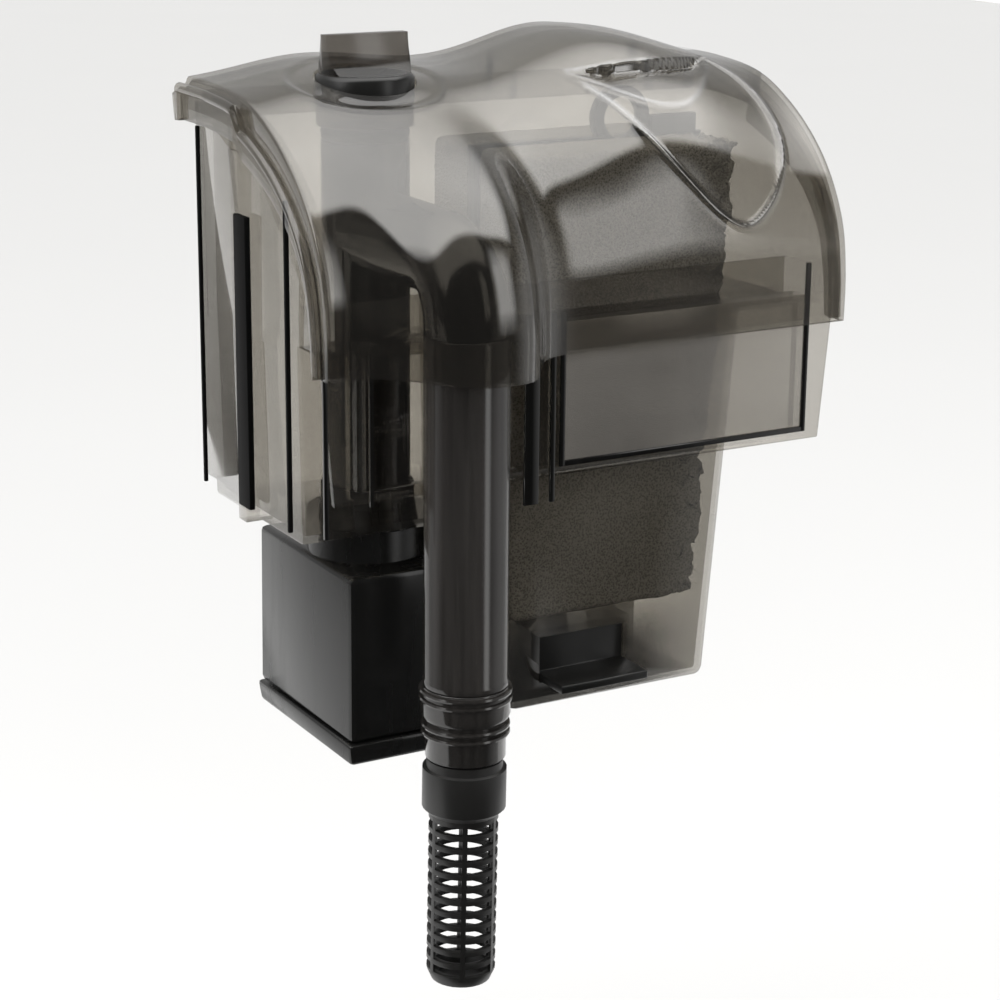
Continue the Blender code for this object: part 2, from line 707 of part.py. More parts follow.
def make_flow_knob():
    """The knob over the column, its seal, and the shutter that it turns inside the column."""
    centre = (PUMP_X, PUMP_Y)
    profile = [
        (KNOB_RADIUS - 1.0 * MM, KNOB_TOP),
        (KNOB_RADIUS - 0.8 * MM, KNOB_BASE + 7.2 * MM),
        (KNOB_RADIUS, KNOB_BASE + 6.5 * MM),
        (KNOB_RADIUS, KNOB_BASE),
        (STEM_RADIUS, KNOB_BASE),
        (STEM_RADIUS, VALVE_TOP - 1 * MM),
        (0, VALVE_TOP - 1 * MM),
        (0, KNOB_TOP),
    ]
    knob = turned("flow_knob", centre, profile, "black_plastic", sides=48)
    scoop = KNOB_TOP - KNOB_SHOULDER + 2 * MM
    for side in (-1, 1):
        y = PUMP_Y + side * (scoop + FIN_THICKNESS / 2)
        start = (PUMP_X - 2 * KNOB_RADIUS, y, KNOB_TOP + 1 * MM)
        end = (PUMP_X + 2 * KNOB_RADIUS, y, KNOB_TOP + 1 * MM)
        cut(knob, rod_along("scoop", start, end, scoop, sides=40))
    seal = [
        (COLUMN_RADIUS - 0.4 * MM, KNOB_BASE - GAP),
        (COLUMN_RADIUS, KNOB_BASE - 1.8 * MM),
        (COLUMN_RADIUS - 0.4 * MM, COLUMN_TOP + GAP),
        (COLUMN_RADIUS - 3 * MM, COLUMN_TOP + GAP),
        (COLUMN_RADIUS - 3 * MM, KNOB_BASE - GAP),
    ]
    turned("knob_seal", centre, seal, "black_rubber")
    radius = COLUMN_RADIUS - TUBE_WALL - GAP - 0.1 * MM
    valve = turned(
        "flow_valve",
        centre,
        [
            (radius, VALVE_TOP),
            (radius, VALVE_LOW),
            (radius - 1.4 * MM, VALVE_LOW),
            (radius - 1.4 * MM, VALVE_TOP - 2 * MM),
            (STEM_RADIUS + GAP, VALVE_TOP - 2 * MM),
            (STEM_RADIUS + GAP, VALVE_TOP),
        ],
        "black_plastic",
    )
    low = (PUMP_X - 15 * MM, PUMP_Y - 15 * MM, VALVE_LOW - 1 * MM)
    cut(valve, block("valve_opening", low, (PUMP_X + 15 * MM, PUMP_Y + 3 * MM, VALVE_TOP - 2 * MM)))


def make_motor_housing():
    """The motor can with its neck, screw posts and cable hole, open below."""
    front, rear = MOTOR_FRONT, MOTOR_REAR
    low = MOTOR_SPLIT + GAP
    flare = (-0.4 * MM,) * 4
    housing = block(
        "motor_housing",
        (MOTOR_LEFT, front, low),
        (MOTOR_RIGHT, rear, MOTOR_TOP),
        "black_plastic",
        rounding=1.6 * MM,
        bottom_inset=flare,
    )
    wall = MOTOR_WALL
    inside = block(
        "motor_space",
        (MOTOR_LEFT + wall, front + wall, low - 5 * MM),
        (MOTOR_RIGHT - wall, rear - wall, MOTOR_TOP - wall),
    )
    centre = (PUMP_X, PUMP_Y)
    cut(housing, inside)
    join(housing, rod("neck_collar", centre, NECK_RADIUS + 4 * MM, MOTOR_TOP - 1 * MM, GASKET_LOW - GAP))
    join(housing, rod("neck", centre, NECK_RADIUS, MOTOR_TOP - 1 * MM, NECK_TOP))
    for place in screw_places():
        join(housing, rod("screw_post", place, 3.2 * MM, low + 0.5 * MM, MOTOR_TOP - 1 * MM, sides=20))
        cut(housing, rod("screw_bore", place, SCREW_RADIUS + GAP, low - 1 * MM, SCREW_TIP + 2 * MM, sides=16))
    cut(housing, rod("well_bore", centre, WELL_RADIUS + GAP, MOTOR_TOP - 8 * MM, NECK_TOP + 5 * MM))
    cut(housing, rod("volute", centre, NECK_RADIUS - 1.2 * MM, WELL_FLANGE, NECK_TOP + 5 * MM))
    start = (PUMP_X, rear - 2 * wall, GLAND_Z)
    cut(housing, rod_along("cable_hole", start, (PUMP_X, rear + wall, GLAND_Z), GLAND_RADIUS + GAP, sides=24))


def screw_places():
    """The four corners where the bottom cap is screwed on."""
    inset = MOTOR_WALL + 2.2 * MM
    xs = (MOTOR_LEFT + inset, MOTOR_RIGHT - inset)
    ys = (MOTOR_FRONT + inset, MOTOR_REAR - inset)
    return [(x, y) for x in xs for y in ys]


def make_motor_cap():
    """The motor's bottom cap, a shallow tray, and its four screws."""
    edge = 1.2 * MM
    inset = (0.8 * MM,) * 4
    cap = block(
        "motor_cap",
        (MOTOR_LEFT - edge, MOTOR_FRONT - edge, MOTOR_BOTTOM),
        (MOTOR_RIGHT + edge, MOTOR_REAR + edge, MOTOR_SPLIT),
        "black_plastic",
        rounding=1.2 * MM,
        bottom_inset=inset,
    )
    low = (MOTOR_LEFT + 10 * MM, MOTOR_FRONT + 10 * MM, MOTOR_BOTTOM + MOTOR_WALL)
    cut(cap, block("cap_space", low, (MOTOR_RIGHT - 10 * MM, MOTOR_REAR - 10 * MM, MOTOR_SPLIT + 1 * MM)))
    head = MOTOR_BOTTOM + 2.6 * MM
    for number, place in enumerate(screw_places(), start=1):
        cut(cap, rod("head_recess", place, SCREW_HEAD + GAP, MOTOR_BOTTOM - 1 * MM, head + GAP, sides=20))
        cut(cap, rod("screw_way", place, SCREW_RADIUS + GAP, head, MOTOR_SPLIT + 1 * MM, sides=16))
        profile = [
            (SCREW_RADIUS, SCREW_TIP),
            (SCREW_RADIUS, head),
            (SCREW_HEAD, head),
            (SCREW_HEAD, MOTOR_BOTTOM + 0.5 * MM),
            (0, MOTOR_BOTTOM + 0.5 * MM),
            (0, SCREW_TIP),
        ]
        turned(f"motor_cap_screw_{number}", place, profile, "steel", sides=16)


def make_stator():
    """The laminated core around the rotor well, its coil former and the winding."""
    half = MOTOR_WIDTH / 2 - MOTOR_WALL - GAP - 0.3 * MM
    leg = half - (WELL_RADIUS + 0.7 * MM)
    low, high = STATOR_MIDDLE - 7 * MM, STATOR_MIDDLE + 7 * MM
    front = PUMP_Y - WELL_RADIUS
    rear = YOKE_Y + 4 * MM
    core = block("stator_core", (PUMP_X - half, front, low), (PUMP_X - half + leg, rear, high), "steel")
    join(core, block("core_leg", (PUMP_X + half - leg, front, low), (PUMP_X + half, rear, high)))
    yoke_low = (PUMP_X - half + leg / 2, YOKE_Y - 4 * MM, STATOR_MIDDLE - 5 * MM)
    yoke_high = (PUMP_X + half - leg / 2, rear, STATOR_MIDDLE + 5 * MM)
    join(core, block("yoke", yoke_low, yoke_high))
    span = half - leg - GAP
    hole = Vector((0, GAP, GAP))
    inner_low = Vector((PUMP_X - span - 2 * MM, YOKE_Y - 4 * MM, STATOR_MIDDLE - 5 * MM)) - hole
    inner_high = Vector((PUMP_X + span + 2 * MM, rear, STATOR_MIDDLE + 5 * MM)) + hole
    wall = Vector((0, BOBBIN_WALL, BOBBIN_WALL))
    ends = Vector((2 * MM, 0, 0))
    bobbin = block("coil_bobbin", inner_low - wall + ends, inner_high + wall - ends, "white_nylon")
    for side in (-1, 1):
        x = PUMP_X + side * (span - BOBBIN_WALL / 2)
        low_corner = (x - BOBBIN_WALL / 2, inner_low.y - COIL_DEPTH, inner_low.z - COIL_DEPTH)
        high_corner = (x + BOBBIN_WALL / 2, inner_high.y + COIL_DEPTH - 2 * GAP, inner_high.z + COIL_DEPTH)
        join(bobbin, block("bobbin_flange", low_corner, high_corner))
    cut(bobbin, block("yoke_hole", inner_low, inner_high))
    reach = span - BOBBIN_WALL - GAP
    low = Vector((PUMP_X - reach, inner_low.y - COIL_DEPTH + 0.6 * MM, inner_low.z - COIL_DEPTH + 0.6 * MM))
    high = Vector((PUMP_X + reach, inner_high.y + COIL_DEPTH - 0.9 * MM, inner_high.z + COIL_DEPTH - 0.6 * MM))
    coil = block("coil_winding", low, high, "copper", rounding=0.8 * MM)
    core_low = Vector((PUMP_X - 20 * MM, inner_low.y, inner_low.z)) - wall - hole
    core_high = Vector((PUMP_X + 20 * MM, inner_high.y, inner_high.z)) + wall + hole
    cut(coil, block("former_hole", core_low, core_high))


def make_rotor():
    """The sealed well, the magnet, the bladed wheel, the fixed shaft and its two bushings."""
    centre = (PUMP_X, PUMP_Y)
    inner = WELL_RADIUS - 1.3 * MM
    flange = NECK_RADIUS - 1.2 * MM - GAP
    well = [
        (flange, WELL_FLANGE + 2 * MM),
        (flange, WELL_FLANGE + GAP),
        (WELL_RADIUS, WELL_FLANGE + GAP),
        (WELL_RADIUS, WELL_END),
        (0, WELL_END),
        (0, WELL_END + 1.6 * MM),
        (inner, WELL_END + 1.6 * MM),
        (inner, WELL_FLANGE + 2 * MM),
    ]
    turned("rotor_well", centre, well, "black_plastic")
    gasket = [
        (NECK_RADIUS + 4 * MM, -PUMP_SECTION_DROP - GAP),
        (NECK_RADIUS + 4 * MM, GASKET_LOW),
        (NECK_RADIUS + GAP, GASKET_LOW),
        (NECK_RADIUS + GAP, -PUMP_SECTION_DROP - GAP),
    ]
    turned("motor_gasket", centre, gasket, "black_rubber")
    bore = SHAFT_RADIUS + GAP
    sleeve("rotor_magnet", centre, ROTOR_RADIUS, bore, ROTOR_TOP - ROTOR_LENGTH, ROTOR_TOP, "magnet")
    hub_low = ROTOR_TOP + GAP
    hub_top = hub_low + BLADE_HEIGHT + 5 * MM
    wheel = sleeve("impeller_blades", centre, 3 * MM, bore, hub_low, hub_top, "white_nylon", sides=24)
    for k in range(BLADE_COUNT):
        low = (2.4 * MM, -0.6 * MM, hub_top - BLADE_HEIGHT)
        blade = block("blade", low, (BLADE_RADIUS, 0.6 * MM, hub_top))
        blade.location = (PUMP_X, PUMP_Y, 0)
        blade.rotation_euler.z = 2 * math.pi * k / BLADE_COUNT
        join(wheel, blade)
    lower = WELL_END + 1.6 * MM + GAP
    upper = EYE_PLATE - GAP
    depth = 2.6 * MM
    rod("impeller_shaft", centre, SHAFT_RADIUS, lower + 1.2 * MM, upper - 1.2 * MM, "ceramic", sides=20)
    lower_bushing = [
        (3.4 * MM, lower + depth),
        (3.4 * MM, lower),
        (0, lower),
        (0, lower + 0.8 * MM),
        (bore, lower + 0.8 * MM),
        (bore, lower + depth),
    ]
    turned("lower_bushing", centre, lower_bushing, "black_rubber", sides=24)
    upper_bushing = [
        (3.0 * MM, upper),
        (3.0 * MM, upper - depth),
        (bore, upper - depth),
        (bore, upper - 0.8 * MM),
        (0, upper - 0.8 * MM),
        (0, upper),
    ]
    turned("upper_bushing", centre, upper_bushing, "black_rubber", sides=24)


def make_cable_gland():
    """The rubber grommet where a cable would enter the back of the motor."""
    rear = MOTOR_REAR
    middle = rod_along(
        "cable_gland",
        (PUMP_X, rear - MOTOR_WALL - 2 * MM, GLAND_Z),
        (PUMP_X, rear + 3 * MM, GLAND_Z),
        GLAND_RADIUS,
        "black_rubber",
        sides=24,
    )
    start = (PUMP_X, rear + 0.7 * MM, GLAND_Z)
    join(middle, rod_along("gland_flange", start, (PUMP_X, rear + 3 * MM, GLAND_Z), GLAND_RADIUS + 2 * MM, sides=24))
    start = (PUMP_X, rear - 20 * MM, GLAND_Z)
    cut(middle, rod_along("cable_way", start, (PUMP_X, rear + 20 * MM, GLAND_Z), 2.6 * MM, sides=24))


def pad_block(name, front, rear, material):
    """A block of media that fills the chamber from side to side and follows its sloping side."""
    slope = CHAMBER_DRAFT / CHAMBER_DROP
    left = PUMP_SECTION_RIGHT + 2.2 * MM
    right = CHAMBER_RIGHT - WALL - 1.2 * MM
    low_right = right + slope * PAD_BOTTOM
    high_right = right + slope * PAD_TOP
    low, high = (left, front, PAD_BOTTOM), (high_right, rear, PAD_TOP)
    return block(name, low, high, material, bottom_inset=(0, high_right - low_right, 0, 0))


def make_media():
    """The cartridge frame with its ring handle, between a front and a rear foam pad."""
    front = BODY_FRONT + WALL + 1 * MM
    middle = front + PAD_THICKNESS + GAP
    back = middle + FRAME_THICKNESS
    pad_block("front_foam_pad", front, front + PAD_THICKNESS, "filter_foam")
    pad_block("rear_foam_pad", back + GAP, back + GAP + PAD_THICKNESS, "filter_foam")
    frame = pad_block("cartridge_frame", middle, back, "black_plastic")
    left = PUMP_SECTION_RIGHT + 2.2 * MM
    slope = CHAMBER_DRAFT / CHAMBER_DROP
    border = 5 * MM
    low = Vector((left + border, middle - 1 * MM, PAD_BOTTOM + border))
    right = CHAMBER_RIGHT - WALL - border + slope * PAD_BOTTOM
    cells = 3
    width = (right - low.x + 2 * MM) / cells
    for row in range(cells):
        height = (PAD_TOP - PAD_BOTTOM - 2 * border + 2 * MM) / cells
        for column in range(cells):
            corner = low + Vector((column * width, 0, row * height))
            size = Vector((width - 2 * MM, FRAME_THICKNESS + 2 * MM, height - 2 * MM))
            cut(frame, block("frame_cell", corner, corner + size))
    y = (middle + back) / 2
    low = (HANDLE_X + 10 * MM, y - 1.6 * MM, PAD_TOP - 1 * MM)
    join(frame, block("frame_tab", low, (HANDLE_X + 25 * MM, y + 1.6 * MM, PAD_TOP + 5 * MM)))
    start, end = (HANDLE_X, y - 1.6 * MM, HANDLE_Z), (HANDLE_X, y + 1.6 * MM, HANDLE_Z)
    join(frame, rod_along("ring", start, end, HANDLE_RADIUS, sides=32))
    start, end = (HANDLE_X, y - 9 * MM, HANDLE_Z), (HANDLE_X, y + 9 * MM, HANDLE_Z)
    cut(frame, rod_along("ring_hole", start, end, HANDLE_RADIUS - 3 * MM, sides=32))


def make_levelling_foot():
    """The sliding foot that keeps the case upright against the tank's glass."""
    half = FOOT_WIDTH / 2
    deep = BODY_FRONT + FOOT_DEPTH
    low = (FOOT_X - half, BODY_FRONT - FOOT_REACH, FOOT_LOW)
    foot = block("levelling_foot", low, (FOOT_X + half, deep, FOOT_LOW + FOOT_HEIGHT), "black_plastic")
    low = (FOOT_X - half - 1 * MM, BODY_FRONT - FOOT_REACH - 1 * MM, FOOT_LOW + 2.4 * MM)
    cut(foot, block("foot_step", low, (FOOT_X + half + 1 * MM, BODY_FRONT + 2 * MM, FOOT_LOW + FOOT_HEIGHT + 1 * MM)))
    low = (FOOT_X - half + 1.6 * MM, BODY_FRONT + 3.6 * MM, FOOT_LOW + 2.4 * MM)
    high = (FOOT_X + half - 1.6 * MM, deep + 1 * MM, FOOT_LOW + FOOT_HEIGHT - 1.6 * MM)
    cut(foot, block("foot_hollow", low, high))


if __name__ == "__main__":
    make_materials()
    make_filter_body()
    make_lid()
    make_flow_knob()
    make_intake_manifold()
    make_intake_tubes()
    make_strainer()
    make_motor_housing()
    make_motor_cap()
    make_stator()
    make_rotor()
    make_cable_gland()
    make_media()
    make_levelling_foot()
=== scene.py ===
"""A hang on back filter for an aquarium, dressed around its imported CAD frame."""

from __future__ import annotations

import logging
import math
from dataclasses import dataclass, field
from enum import Enum
from typing import Callable, Union

import bpy
import numpy as np
from mathutils import Matrix, Vector


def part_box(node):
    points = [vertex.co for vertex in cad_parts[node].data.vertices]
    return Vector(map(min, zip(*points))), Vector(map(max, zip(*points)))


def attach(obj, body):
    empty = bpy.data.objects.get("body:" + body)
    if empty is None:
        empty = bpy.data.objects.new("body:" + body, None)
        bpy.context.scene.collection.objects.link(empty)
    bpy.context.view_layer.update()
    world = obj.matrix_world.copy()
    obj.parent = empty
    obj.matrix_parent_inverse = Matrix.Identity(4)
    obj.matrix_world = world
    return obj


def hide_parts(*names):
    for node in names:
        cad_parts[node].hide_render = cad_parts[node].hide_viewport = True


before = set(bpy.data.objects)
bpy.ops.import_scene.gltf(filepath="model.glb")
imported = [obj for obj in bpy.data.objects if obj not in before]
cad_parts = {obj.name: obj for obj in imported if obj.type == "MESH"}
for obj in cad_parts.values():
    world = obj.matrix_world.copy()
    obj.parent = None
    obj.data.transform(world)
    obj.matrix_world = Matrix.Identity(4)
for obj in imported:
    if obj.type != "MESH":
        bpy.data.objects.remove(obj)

LOG = logging.getLogger("filter")
MM = 0.001
PUMP_X, PUMP_Y = -44.5 * MM, 35.0 * MM
TUBE_Y = -22.0 * MM
HEAD_ON_GLOSS = 0.04
SAME_POINT = 0.00001
Number = Union[int, float, "Value"]


# ---------------------------------------------------------------- shader maths


class Value:
    """One socket of a node tree, with arithmetic that adds the Math nodes for it."""

    def __init__(self, tree: bpy.types.NodeTree, socket: bpy.types.NodeSocket) -> None:
        """Wrap a socket of the tree."""
        self.tree = tree
        self.socket = socket

    def _math(self, operation: str, first: Number, second: Number, clamp: bool = False) -> Value:
        """Add one Math node.

        Args:
            operation: the node's operation.
            first: its first number or socket.
            second: its second number or socket.
            clamp: whether the result is held between 0 and 1.

        Returns:
            The node's result.
        """
        node = self.tree.nodes.new("ShaderNodeMath")
        node.operation = operation
        node.use_clamp = clamp
        for slot, item in zip(node.inputs, (first, second)):
            if isinstance(item, Value):
                self.tree.links.new(item.socket, slot)
            else:
                slot.default_value = item
        return Value(self.tree, node.outputs[0])

    def __add__(self, other: Number) -> Value:
        """Add."""
        return self._math("ADD", self, other)

    def __radd__(self, other: Number) -> Value:
        """Add, from the right."""
        return self._math("ADD", other, self)

    def __sub__(self, other: Number) -> Value:
        """Subtract."""
        return self._math("SUBTRACT", self, other)

    def __rsub__(self, other: Number) -> Value:
        """Subtract this from a number."""
        return self._math("SUBTRACT", other, self)

    def __mul__(self, other: Number) -> Value:
        """Multiply."""
        return self._math("MULTIPLY", self, other)

    def __rmul__(self, other: Number) -> Value:
        """Multiply, from the right."""
        return self._math("MULTIPLY", other, self)

    def __truediv__(self, other: Number) -> Value:
        """Divide."""
        return self._math("DIVIDE", self, other)

    def __pow__(self, power: Number) -> Value:
        """Raise to a power."""
        return self._math("POWER", self, power)

    def clamped(self) -> Value:
        """Hold the value between 0 and 1."""
        return self._math("ADD", self, 0.0, clamp=True)

    def at_least(self, least: float) -> Value:
        """The value, or least where it is smaller."""
        return self._math("MAXIMUM", self, least)

    def step(self, start: float, end: float) -> Value:
        """Ramp from 0 at start to 1 at end."""
        return self._math("DIVIDE", self - start, end - start, clamp=True)


class Recipe:
    """The node tree of one finish, built a node at a time."""

    def __init__(self, name: str) -> None:
        """Start an empty material of that name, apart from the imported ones."""
        self.material = bpy.data.materials.new(f"{name}_finish")
        self.material.use_nodes = True
        self.tree = self.material.node_tree
        self.tree.nodes.clear()
        coordinates = self.tree.nodes.new("ShaderNodeTexCoord")
        self.place = coordinates.outputs["Object"]

    def node(self, kind: str, settings: dict | None = None, **inputs: object) -> bpy.types.Node:
        """Add any node.

        Args:
            kind: the node's type.
            settings: attributes set before the inputs.
            inputs: values or links by socket name, with _ for a space, or n and the socket's number.

        Returns:
            The node.
        """
        node = self.tree.nodes.new(kind)
        for key, item in (settings or {}).items():
            setattr(node, key, item)
        for key, item in inputs.items():
            numbered = key[0] == "n" and key[1:].isdigit()
            self.feed(node.inputs[int(key[1:]) if numbered else key.replace("_", " ")], item)
        return node

    def feed(self, slot: bpy.types.NodeSocket, item: object) -> None:
        """Link a socket or set a plain value on an input."""
        if isinstance(item, Value):
            self.tree.links.new(item.socket, slot)
        elif isinstance(item, bpy.types.NodeSocket):
            self.tree.links.new(item, slot)
        else:
            slot.default_value = item

    def stretched(self, scale: tuple[float, float, float]) -> bpy.types.NodeSocket:
        """The object's coordinates, scaled apart along each axis."""
        return self.node("ShaderNodeMapping", Vector=self.place, Scale=scale).outputs[0]

    def noise(
        self, scale: float, detail: float = 3.0, rough: float = 0.55, stretch: tuple | None = None
    ) -> Value:
        """A noise pattern from 0 to 1.

        Args:
            scale: how many waves to a metre.
            detail: how many finer layers.
            rough: how strong the finer layers are.
            stretch: scales apart along X, Y and Z, or None.

        Returns:
            The pattern.
        """
        place = self.stretched(stretch) if stretch else self.place
        made = self.node("ShaderNodeTexNoise", Vector=place, Scale=scale, Detail=detail, Roughness=rough)
        return Value(self.tree, made.outputs[0])

    def cells(self, scale: float) -> Value:
        """Distances to the nearest of scattered points."""
        made = self.node("ShaderNodeTexVoronoi", Vector=self.place, Scale=scale)
        return Value(self.tree, made.outputs["Distance"])

    def blend(self, share: Number, first: object, second: object) -> bpy.types.NodeSocket:
        """Mix two colours by a share."""
        made = self.node("ShaderNodeMix", {"data_type": "RGBA"}, Factor=share, n6=first, n7=second)
        return made.outputs[2]

    def facing(self) -> Value:
        """How edge-on the surface is seen, from 0 to 1."""
        made = self.node("ShaderNodeLayerWeight", Blend=0.5)
        return Value(self.tree, made.outputs["Facing"])

    def bump(self, height: Value, strength: float, distance: float) -> bpy.types.NodeSocket:
        """A normal tilted by a height pattern."""
        made = self.node("ShaderNodeBump", Height=height, Strength=strength, Distance=distance)
        return made.outputs[0]

    def see_through(
        self, surface: bpy.types.Node, passed: tuple[float, float, float], body: Value, facing: Value
    ) -> bpy.types.Material:
        """End the tree in a surface that lets light through between its haze and its gloss.

        Args:
            surface: the surface's shader.
            passed: the colour of the light that one face lets through.
            body: how much of the surface is solid.
            facing: how edge-on it is seen.

        Returns:
            The material.
        """
        gloss = HEAD_ON_GLOSS + (1 - HEAD_ON_GLOSS) * facing**5
        clear = self.node("ShaderNodeBsdfTransparent", Color=(*passed, 1))
        share = (body + (1 - body) * gloss).clamped()
        mixed = self.node("ShaderNodeMixShader", n0=share, n1=clear.outputs[0], n2=surface.outputs[0])
        return self.finish(mixed)

    def finish(self, shader: bpy.types.Node) -> bpy.types.Material:
        """End the tree in this shader and hand over the material."""
        output = self.tree.nodes.new("ShaderNodeOutputMaterial")
        self.tree.links.new(shader.outputs[0], output.inputs["Surface"])
        return self.material


# -------------------------------------------------------------------- finishes


@dataclass(frozen=True)
class ClearPlastic:
    """Smoke-tinted clear moulding: light passes, dimmed by each face, under a gloss."""

    name: str
    passed: tuple[float, float, float] = (0.93, 0.911, 0.874)
    haze: tuple[float, float, float] = (0.022, 0.0205, 0.0185)
    opacity: float = 0.20
    edge: float = 0.5
    roughness: float = 0.04
    smudges: float = 0.07
    dark_foot: float = 0.0

    def make(self) -> bpy.types.Material:
        """Build the material."""
        recipe = Recipe(self.name)
        smudge = recipe.noise(24, 5, 0.6)
        wipe = recipe.noise(9, 3, 0.5, (1.0, 1.0, 3.5))
        fine = recipe.noise(420, 2)
        facing = recipe.facing()
        # Painted shade: where a mesh carries the 'line' attribute, the surface turns more solid and so darker
        # along the lid's relief.
        painted_shade_marks = recipe.node("ShaderNodeAttribute", {"attribute_name": "line"})
        line = Value(recipe.tree, painted_shade_marks.outputs["Fac"])
        body = (self.opacity + 0.05 * (smudge - 0.5) + self.edge * facing**3 + 0.75 * line).clamped()
        if self.dark_foot:
            split = recipe.node("ShaderNodeSeparateXYZ", Vector=recipe.place)
            across, height = (Value(recipe.tree, split.outputs[axis]) for axis in "XZ")
            foot = (1 - height.step(-98 * MM, -86 * MM)) * (1 - across.step(28 * MM, 52 * MM))
            body = (body + self.dark_foot * foot).clamped()
        dark = tuple(0.6 * part for part in self.haze)
        colour = recipe.blend(smudge.step(0.3, 0.75), (*dark, 1), (*self.haze, 1))
        rough = self.roughness + self.smudges * smudge.step(0.45, 0.8) * wipe
        normal = recipe.bump(fine * 0.4 + smudge, 0.05, 0.3 * MM)
        surface = recipe.node(
            "ShaderNodeBsdfPrincipled",
            Base_Color=colour,
            Roughness=rough,
            Normal=normal,
            IOR=2.8,
            Coat_Weight=1.0,
            Coat_Roughness=0.03,
            Coat_IOR=1.7,
        )
        return recipe.see_through(surface, self.passed, body, facing)


@dataclass(frozen=True)
class BlackPlastic:
    """Moulded black plastic with a faint orange peel, dust and wiped streaks."""

    name: str
    colour: tuple[float, float, float] = (0.0035, 0.0035, 0.0033)
    roughness: float = 0.22
    grain: float = 0.10
    specular: float = 0.55

    def make(self) -> bpy.types.Material:
        """Build the material."""
        recipe = Recipe(self.name)
        peel = recipe.noise(650, 2)
        cloud = recipe.noise(35, 4, 0.6)
        streak = recipe.noise(120, 3, 0.6, (1.0, 1.0, 0.12))
        dust = recipe.noise(1500, 2).step(0.68, 0.78)
        pale = tuple(2.2 * part + 0.004 for part in self.colour)
        colour = recipe.blend((cloud * 0.5 + dust * 0.6).clamped(), (*self.colour, 1), (*pale, 1))
        rough = self.roughness + 0.12 * cloud + 0.10 * streak.step(0.45, 0.8)
        surface = recipe.node(
            "ShaderNodeBsdfPrincipled",
            Base_Color=colour,
            Roughness=rough,
            Normal=recipe.bump(peel + 0.6 * cloud, self.grain, 0.15 * MM),
            Specular_IOR_Level=self.specular,
        )
        return recipe.finish(surface)


@dataclass(frozen=True)
class DarkClear:
    """Dark smoke tube plastic, nearly opaque, with drawn streaks along its length."""

    name: str
    passed: tuple[float, float, float] = (0.50, 0.46, 0.42)
    haze: tuple[float, float, float] = (0.010, 0.0092, 0.0085)
    opacity: float = 0.6

    def make(self) -> bpy.types.Material:
        """Build the material."""
        recipe = Recipe(self.name)
        streak = recipe.noise(260, 4, 0.6, (1.0, 1.0, 0.04))
        cloud = recipe.noise(30, 4)
        facing = recipe.facing()
        body = self.opacity + 0.12 * (cloud - 0.5)
        pale = tuple(2.5 * part for part in self.haze)
        surface = recipe.node(
            "ShaderNodeBsdfPrincipled",
            Base_Color=recipe.blend(streak.step(0.4, 0.8), (*self.haze, 1), (*pale, 1)),
            Roughness=0.10 + 0.16 * streak * cloud,
            Normal=recipe.bump(streak, 0.08, 0.1 * MM),
            Specular_IOR_Level=0.8,
            Coat_Weight=0.5,
            Coat_Roughness=0.06,
        )
        return recipe.see_through(surface, self.passed, body, facing)


@dataclass(frozen=True)
class Foam:
    """Open-cell filter foam: pores between pale and dark struts."""

    name: str
    dark: tuple[float, float, float] = (0.07, 0.067, 0.062)
    pale: tuple[float, float, float] = (0.30, 0.29, 0.268)

    def make(self) -> bpy.types.Material:
        """Build the material."""
        recipe = Recipe(self.name)
        pores = recipe.cells(1500)
        coarse = recipe.cells(620)
        cloud = recipe.noise(40, 4, 0.6)
        struts = (pores.step(0.15, 0.6) * 0.7 + cloud * 0.45).clamped()
        height = pores * 0.7 + coarse * 0.6
        surface = recipe.node(
            "ShaderNodeBsdfPrincipled",
            Base_Color=recipe.blend(struts, (*self.dark, 1), (*self.pale, 1)),
            Roughness=0.85 + 0.1 * cloud,
            Normal=recipe.bump(height, 0.8, 0.6 * MM),
        )
        return recipe.finish(surface)


@dataclass(frozen=True)
class Metal:
    """A worn metal or mineral: brushed, drawn or sintered."""

    name: str
    colour: tuple[float, float, float]
    roughness: float
    metallic: float = 1.0
    stretch: tuple[float, float, float] = (1.0, 1.0, 0.05)

    def make(self) -> bpy.types.Material:
        """Build the material."""
        recipe = Recipe(self.name)
        brushed = recipe.noise(900, 3, 0.6, self.stretch)
        cloud = recipe.noise(60, 4)
        dull = tuple(0.6 * part for part in self.colour)
        surface = recipe.node(
            "ShaderNodeBsdfPrincipled",
            Base_Color=recipe.blend(cloud.step(0.35, 0.7), (*dull, 1), (*self.colour, 1)),
            Roughness=self.roughness + 0.18 * brushed,
            Metallic=self.metallic,
            Normal=recipe.bump(brushed, 0.15, 0.1 * MM),
        )
        return recipe.finish(surface)


